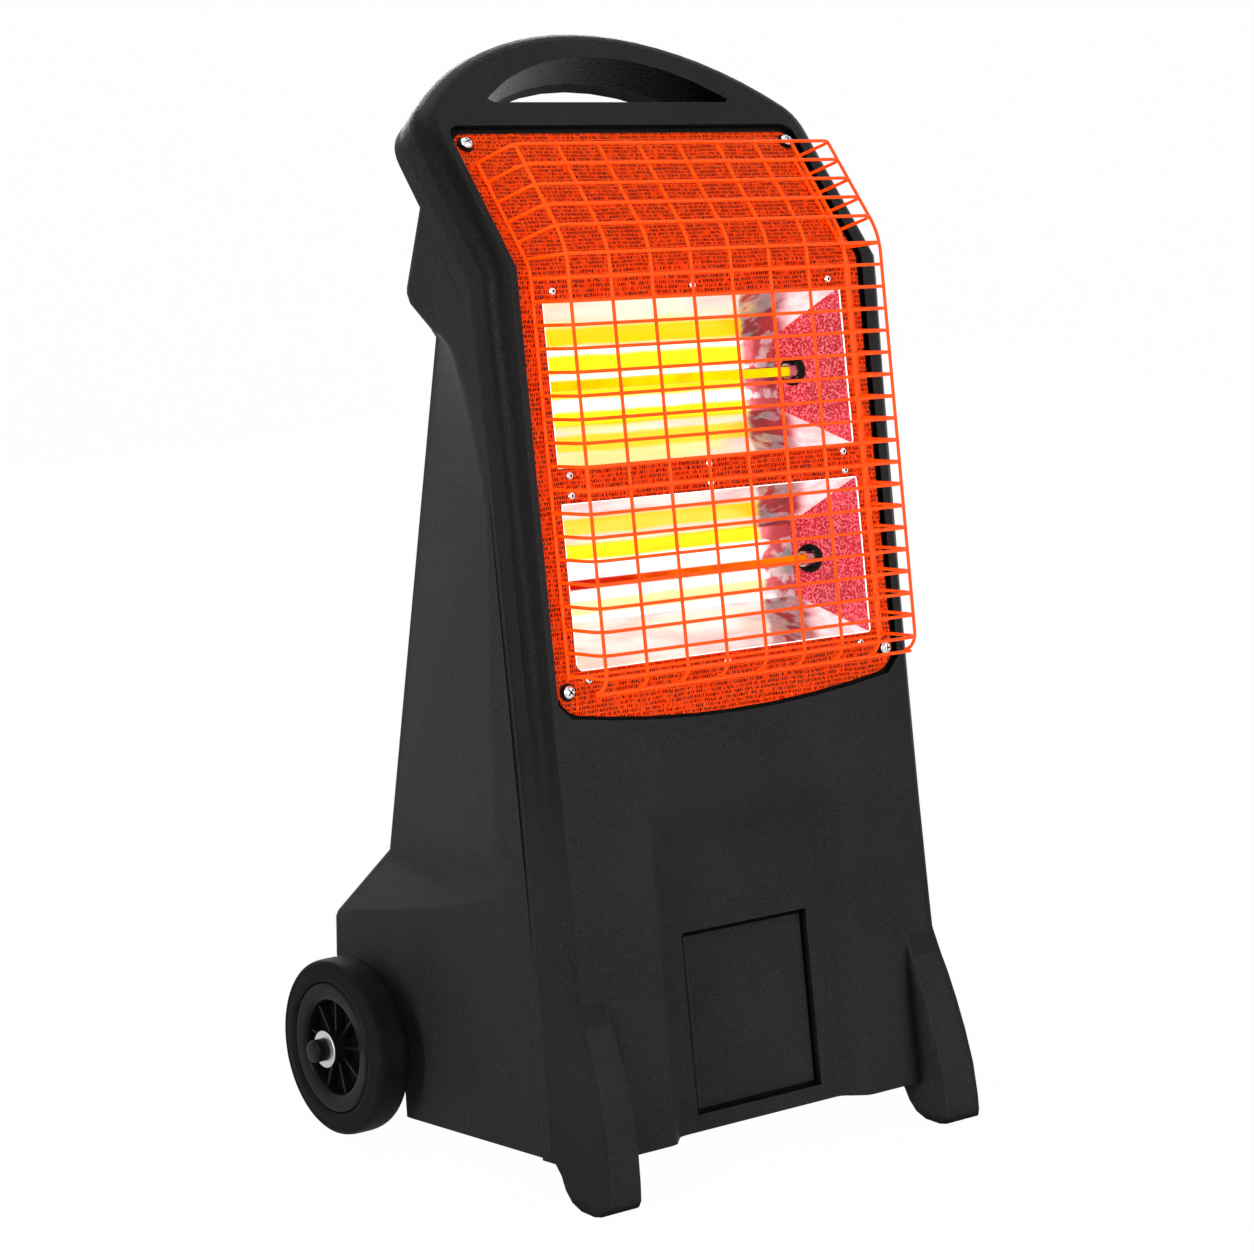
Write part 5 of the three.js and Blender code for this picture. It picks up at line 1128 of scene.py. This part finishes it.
def rim_shape(ribs):
    """A wheel rim: the ring with its rounded lips, the web behind, the hub and the ribs."""
    shape = turned(RIM_RING, 96)
    turned(RIM_WEB, 96, shape)
    turned(RIM_HUB, 64, shape)
    rib = linked("wheel_rib", shaded(block(bmesh.new(), *RIM_RIB), "wheel_rib"))
    growth = Growth("wheel_rim_shown", Ribs=ribs)
    spots = growth.add("Points", {"Count": growth.size("Ribs")}).outputs[0]
    share = growth.math("DIVIDE", growth.add("InputIndex").outputs[0], growth.size("Ribs"))
    turn = growth.add("ShaderNodeCombineXYZ", {2: growth.math("MULTIPLY", share, math.tau)}).outputs[0]
    rotation = growth.add("FunctionNodeEulerToRotation", {0: turn}).outputs[0]
    joined = growth.add("JoinGeometry", {0: growth.shape()})
    growth.tree.links.new(growth.copies(rib, spots, Rotation=rotation), joined.inputs[0])
    mesh = growth.grow(joined.outputs[0], finish_of("smooth_plastic"), shaded(shape, "rim_body"))
    bpy.data.objects.remove(rib)
    return mesh


class HEATER_OT_wheels(bpy.types.Operator):
    """Make the wheels: tyres, ribbed rims, hub washers and axle caps"""

    bl_idname = "heater.wheels"
    bl_label = "Wheels"

    def execute(self, context):
        for hand, side in (("left", -1), ("right", 1)):
            seat = facing(Vector((side, 0, 0)), Vector((side * WHEEL_INNER, *WHEEL_CENTRE)), Vector((0, 0, 1)))
            wheel = "wheel_" + hand
            for part, mesh, body, slot, look in (
                ("tyre", shaded(turned(TYRE, 120), "tyre", 60), wheel, "tyre_rubber", "tyre_rubber"),
                ("wheel_rim", rim_shape(context.scene.heater_sizes.wheel_ribs), wheel, "black_gloss", None),
                ("hub_washer", shaded(turned(HUB_WASHER, 64), "hub_washer"), "chassis", "chrome",
                 "plain_steel"),
                ("axle_cap", shaded(turned(AXLE_CAP, 48), "axle_cap", 50), "chassis", "black_gloss",
                 "smooth_plastic"),
            ):
                piece(f"{part.removeprefix('wheel_')}_shown_{hand}", outward(mesh, seat), body, slot,
                      look and finish_of(look), [f"{part}_{hand}"])
        dress(pair("axle_bush"), finish_of("smooth_plastic"))
        dress(["axle"], finish_of("plain_steel"))
        return {"FINISHED"}


class HEATER_OT_switches(bpy.types.Operator):
    """Finish the switches behind the handle"""

    bl_idname = "heater.switches"
    bl_label = "Switches"

    def execute(self, context):
        smooth = finish_of("smooth_plastic")
        softened("switch_plate", "chassis", smooth, edge=0.0005)
        for level in ("upper", "lower"):
            softened(f"switch_housing_{level}_lamp", "chassis", smooth, edge=0.0005)
            softened(f"rocker_{level}_lamp", f"{level}_lamp_rocker",
                     finish_of("rocker", lit_rocker), edge=0.0006)
        return {"FINISHED"}


class HEATER_OT_inside(bpy.types.Operator):
    """Finish the heat shield, cut-out, terminal block, tip-over switch and cable gland"""

    bl_idname = "heater.inside"
    bl_label = "Inside"

    def execute(self, context):
        dress(["heat_shield", "tip_over_switch"], finish_of("plain_steel"))
        dress(["thermal_cutout", "terminal_block"], finish_of("white_ceramic"))
        softened("cable_gland", "chassis", finish_of("soft_rubber"))
        dress(["gland_nut"], finish_of("smooth_plastic"))
        return {"FINISHED"}


STEPS = (HEATER_OT_stage, HEATER_OT_shells, HEATER_OT_fascia, HEATER_OT_fasteners, HEATER_OT_guard,
         HEATER_OT_reflectors, HEATER_OT_lamps, HEATER_OT_wheels, HEATER_OT_switches, HEATER_OT_inside)
GROUPS = {"heater_stage": HeaterStage, "heater_finish": HeaterFinish, "heater_sizes": HeaterSizes}


class HEATER_PT_build(bpy.types.Panel):
    """Lists the steps that build the heater"""

    bl_label = "Infrared Heater"
    bl_idname = "HEATER_PT_build"
    bl_space_type = "VIEW_3D"
    bl_region_type = "UI"
    bl_category = "Heater"

    def draw(self, context):
        for step in STEPS:
            self.layout.operator(step.bl_idname)
        for group in GROUPS:
            box = self.layout.box()
            settings = getattr(context.scene, group)
            for name in settings.bl_rna.properties.keys():
                if name not in ("rna_type", "name"):
                    box.prop(settings, name)


def register():
    for kind in (*GROUPS.values(), *STEPS, HEATER_PT_build):
        bpy.utils.register_class(kind)
    for name, kind in GROUPS.items():
        setattr(bpy.types.Scene, name, bpy.props.PointerProperty(type=kind))


def unregister():
    for name in GROUPS:
        delattr(bpy.types.Scene, name)
    for kind in (HEATER_PT_build, *reversed(STEPS), *GROUPS.values()):
        bpy.utils.unregister_class(kind)


def main():
    register()
    for step in STEPS:
        group, name = step.bl_idname.split(".")
        getattr(getattr(bpy.ops, group), name)()


if __name__ == "__main__":
    main()
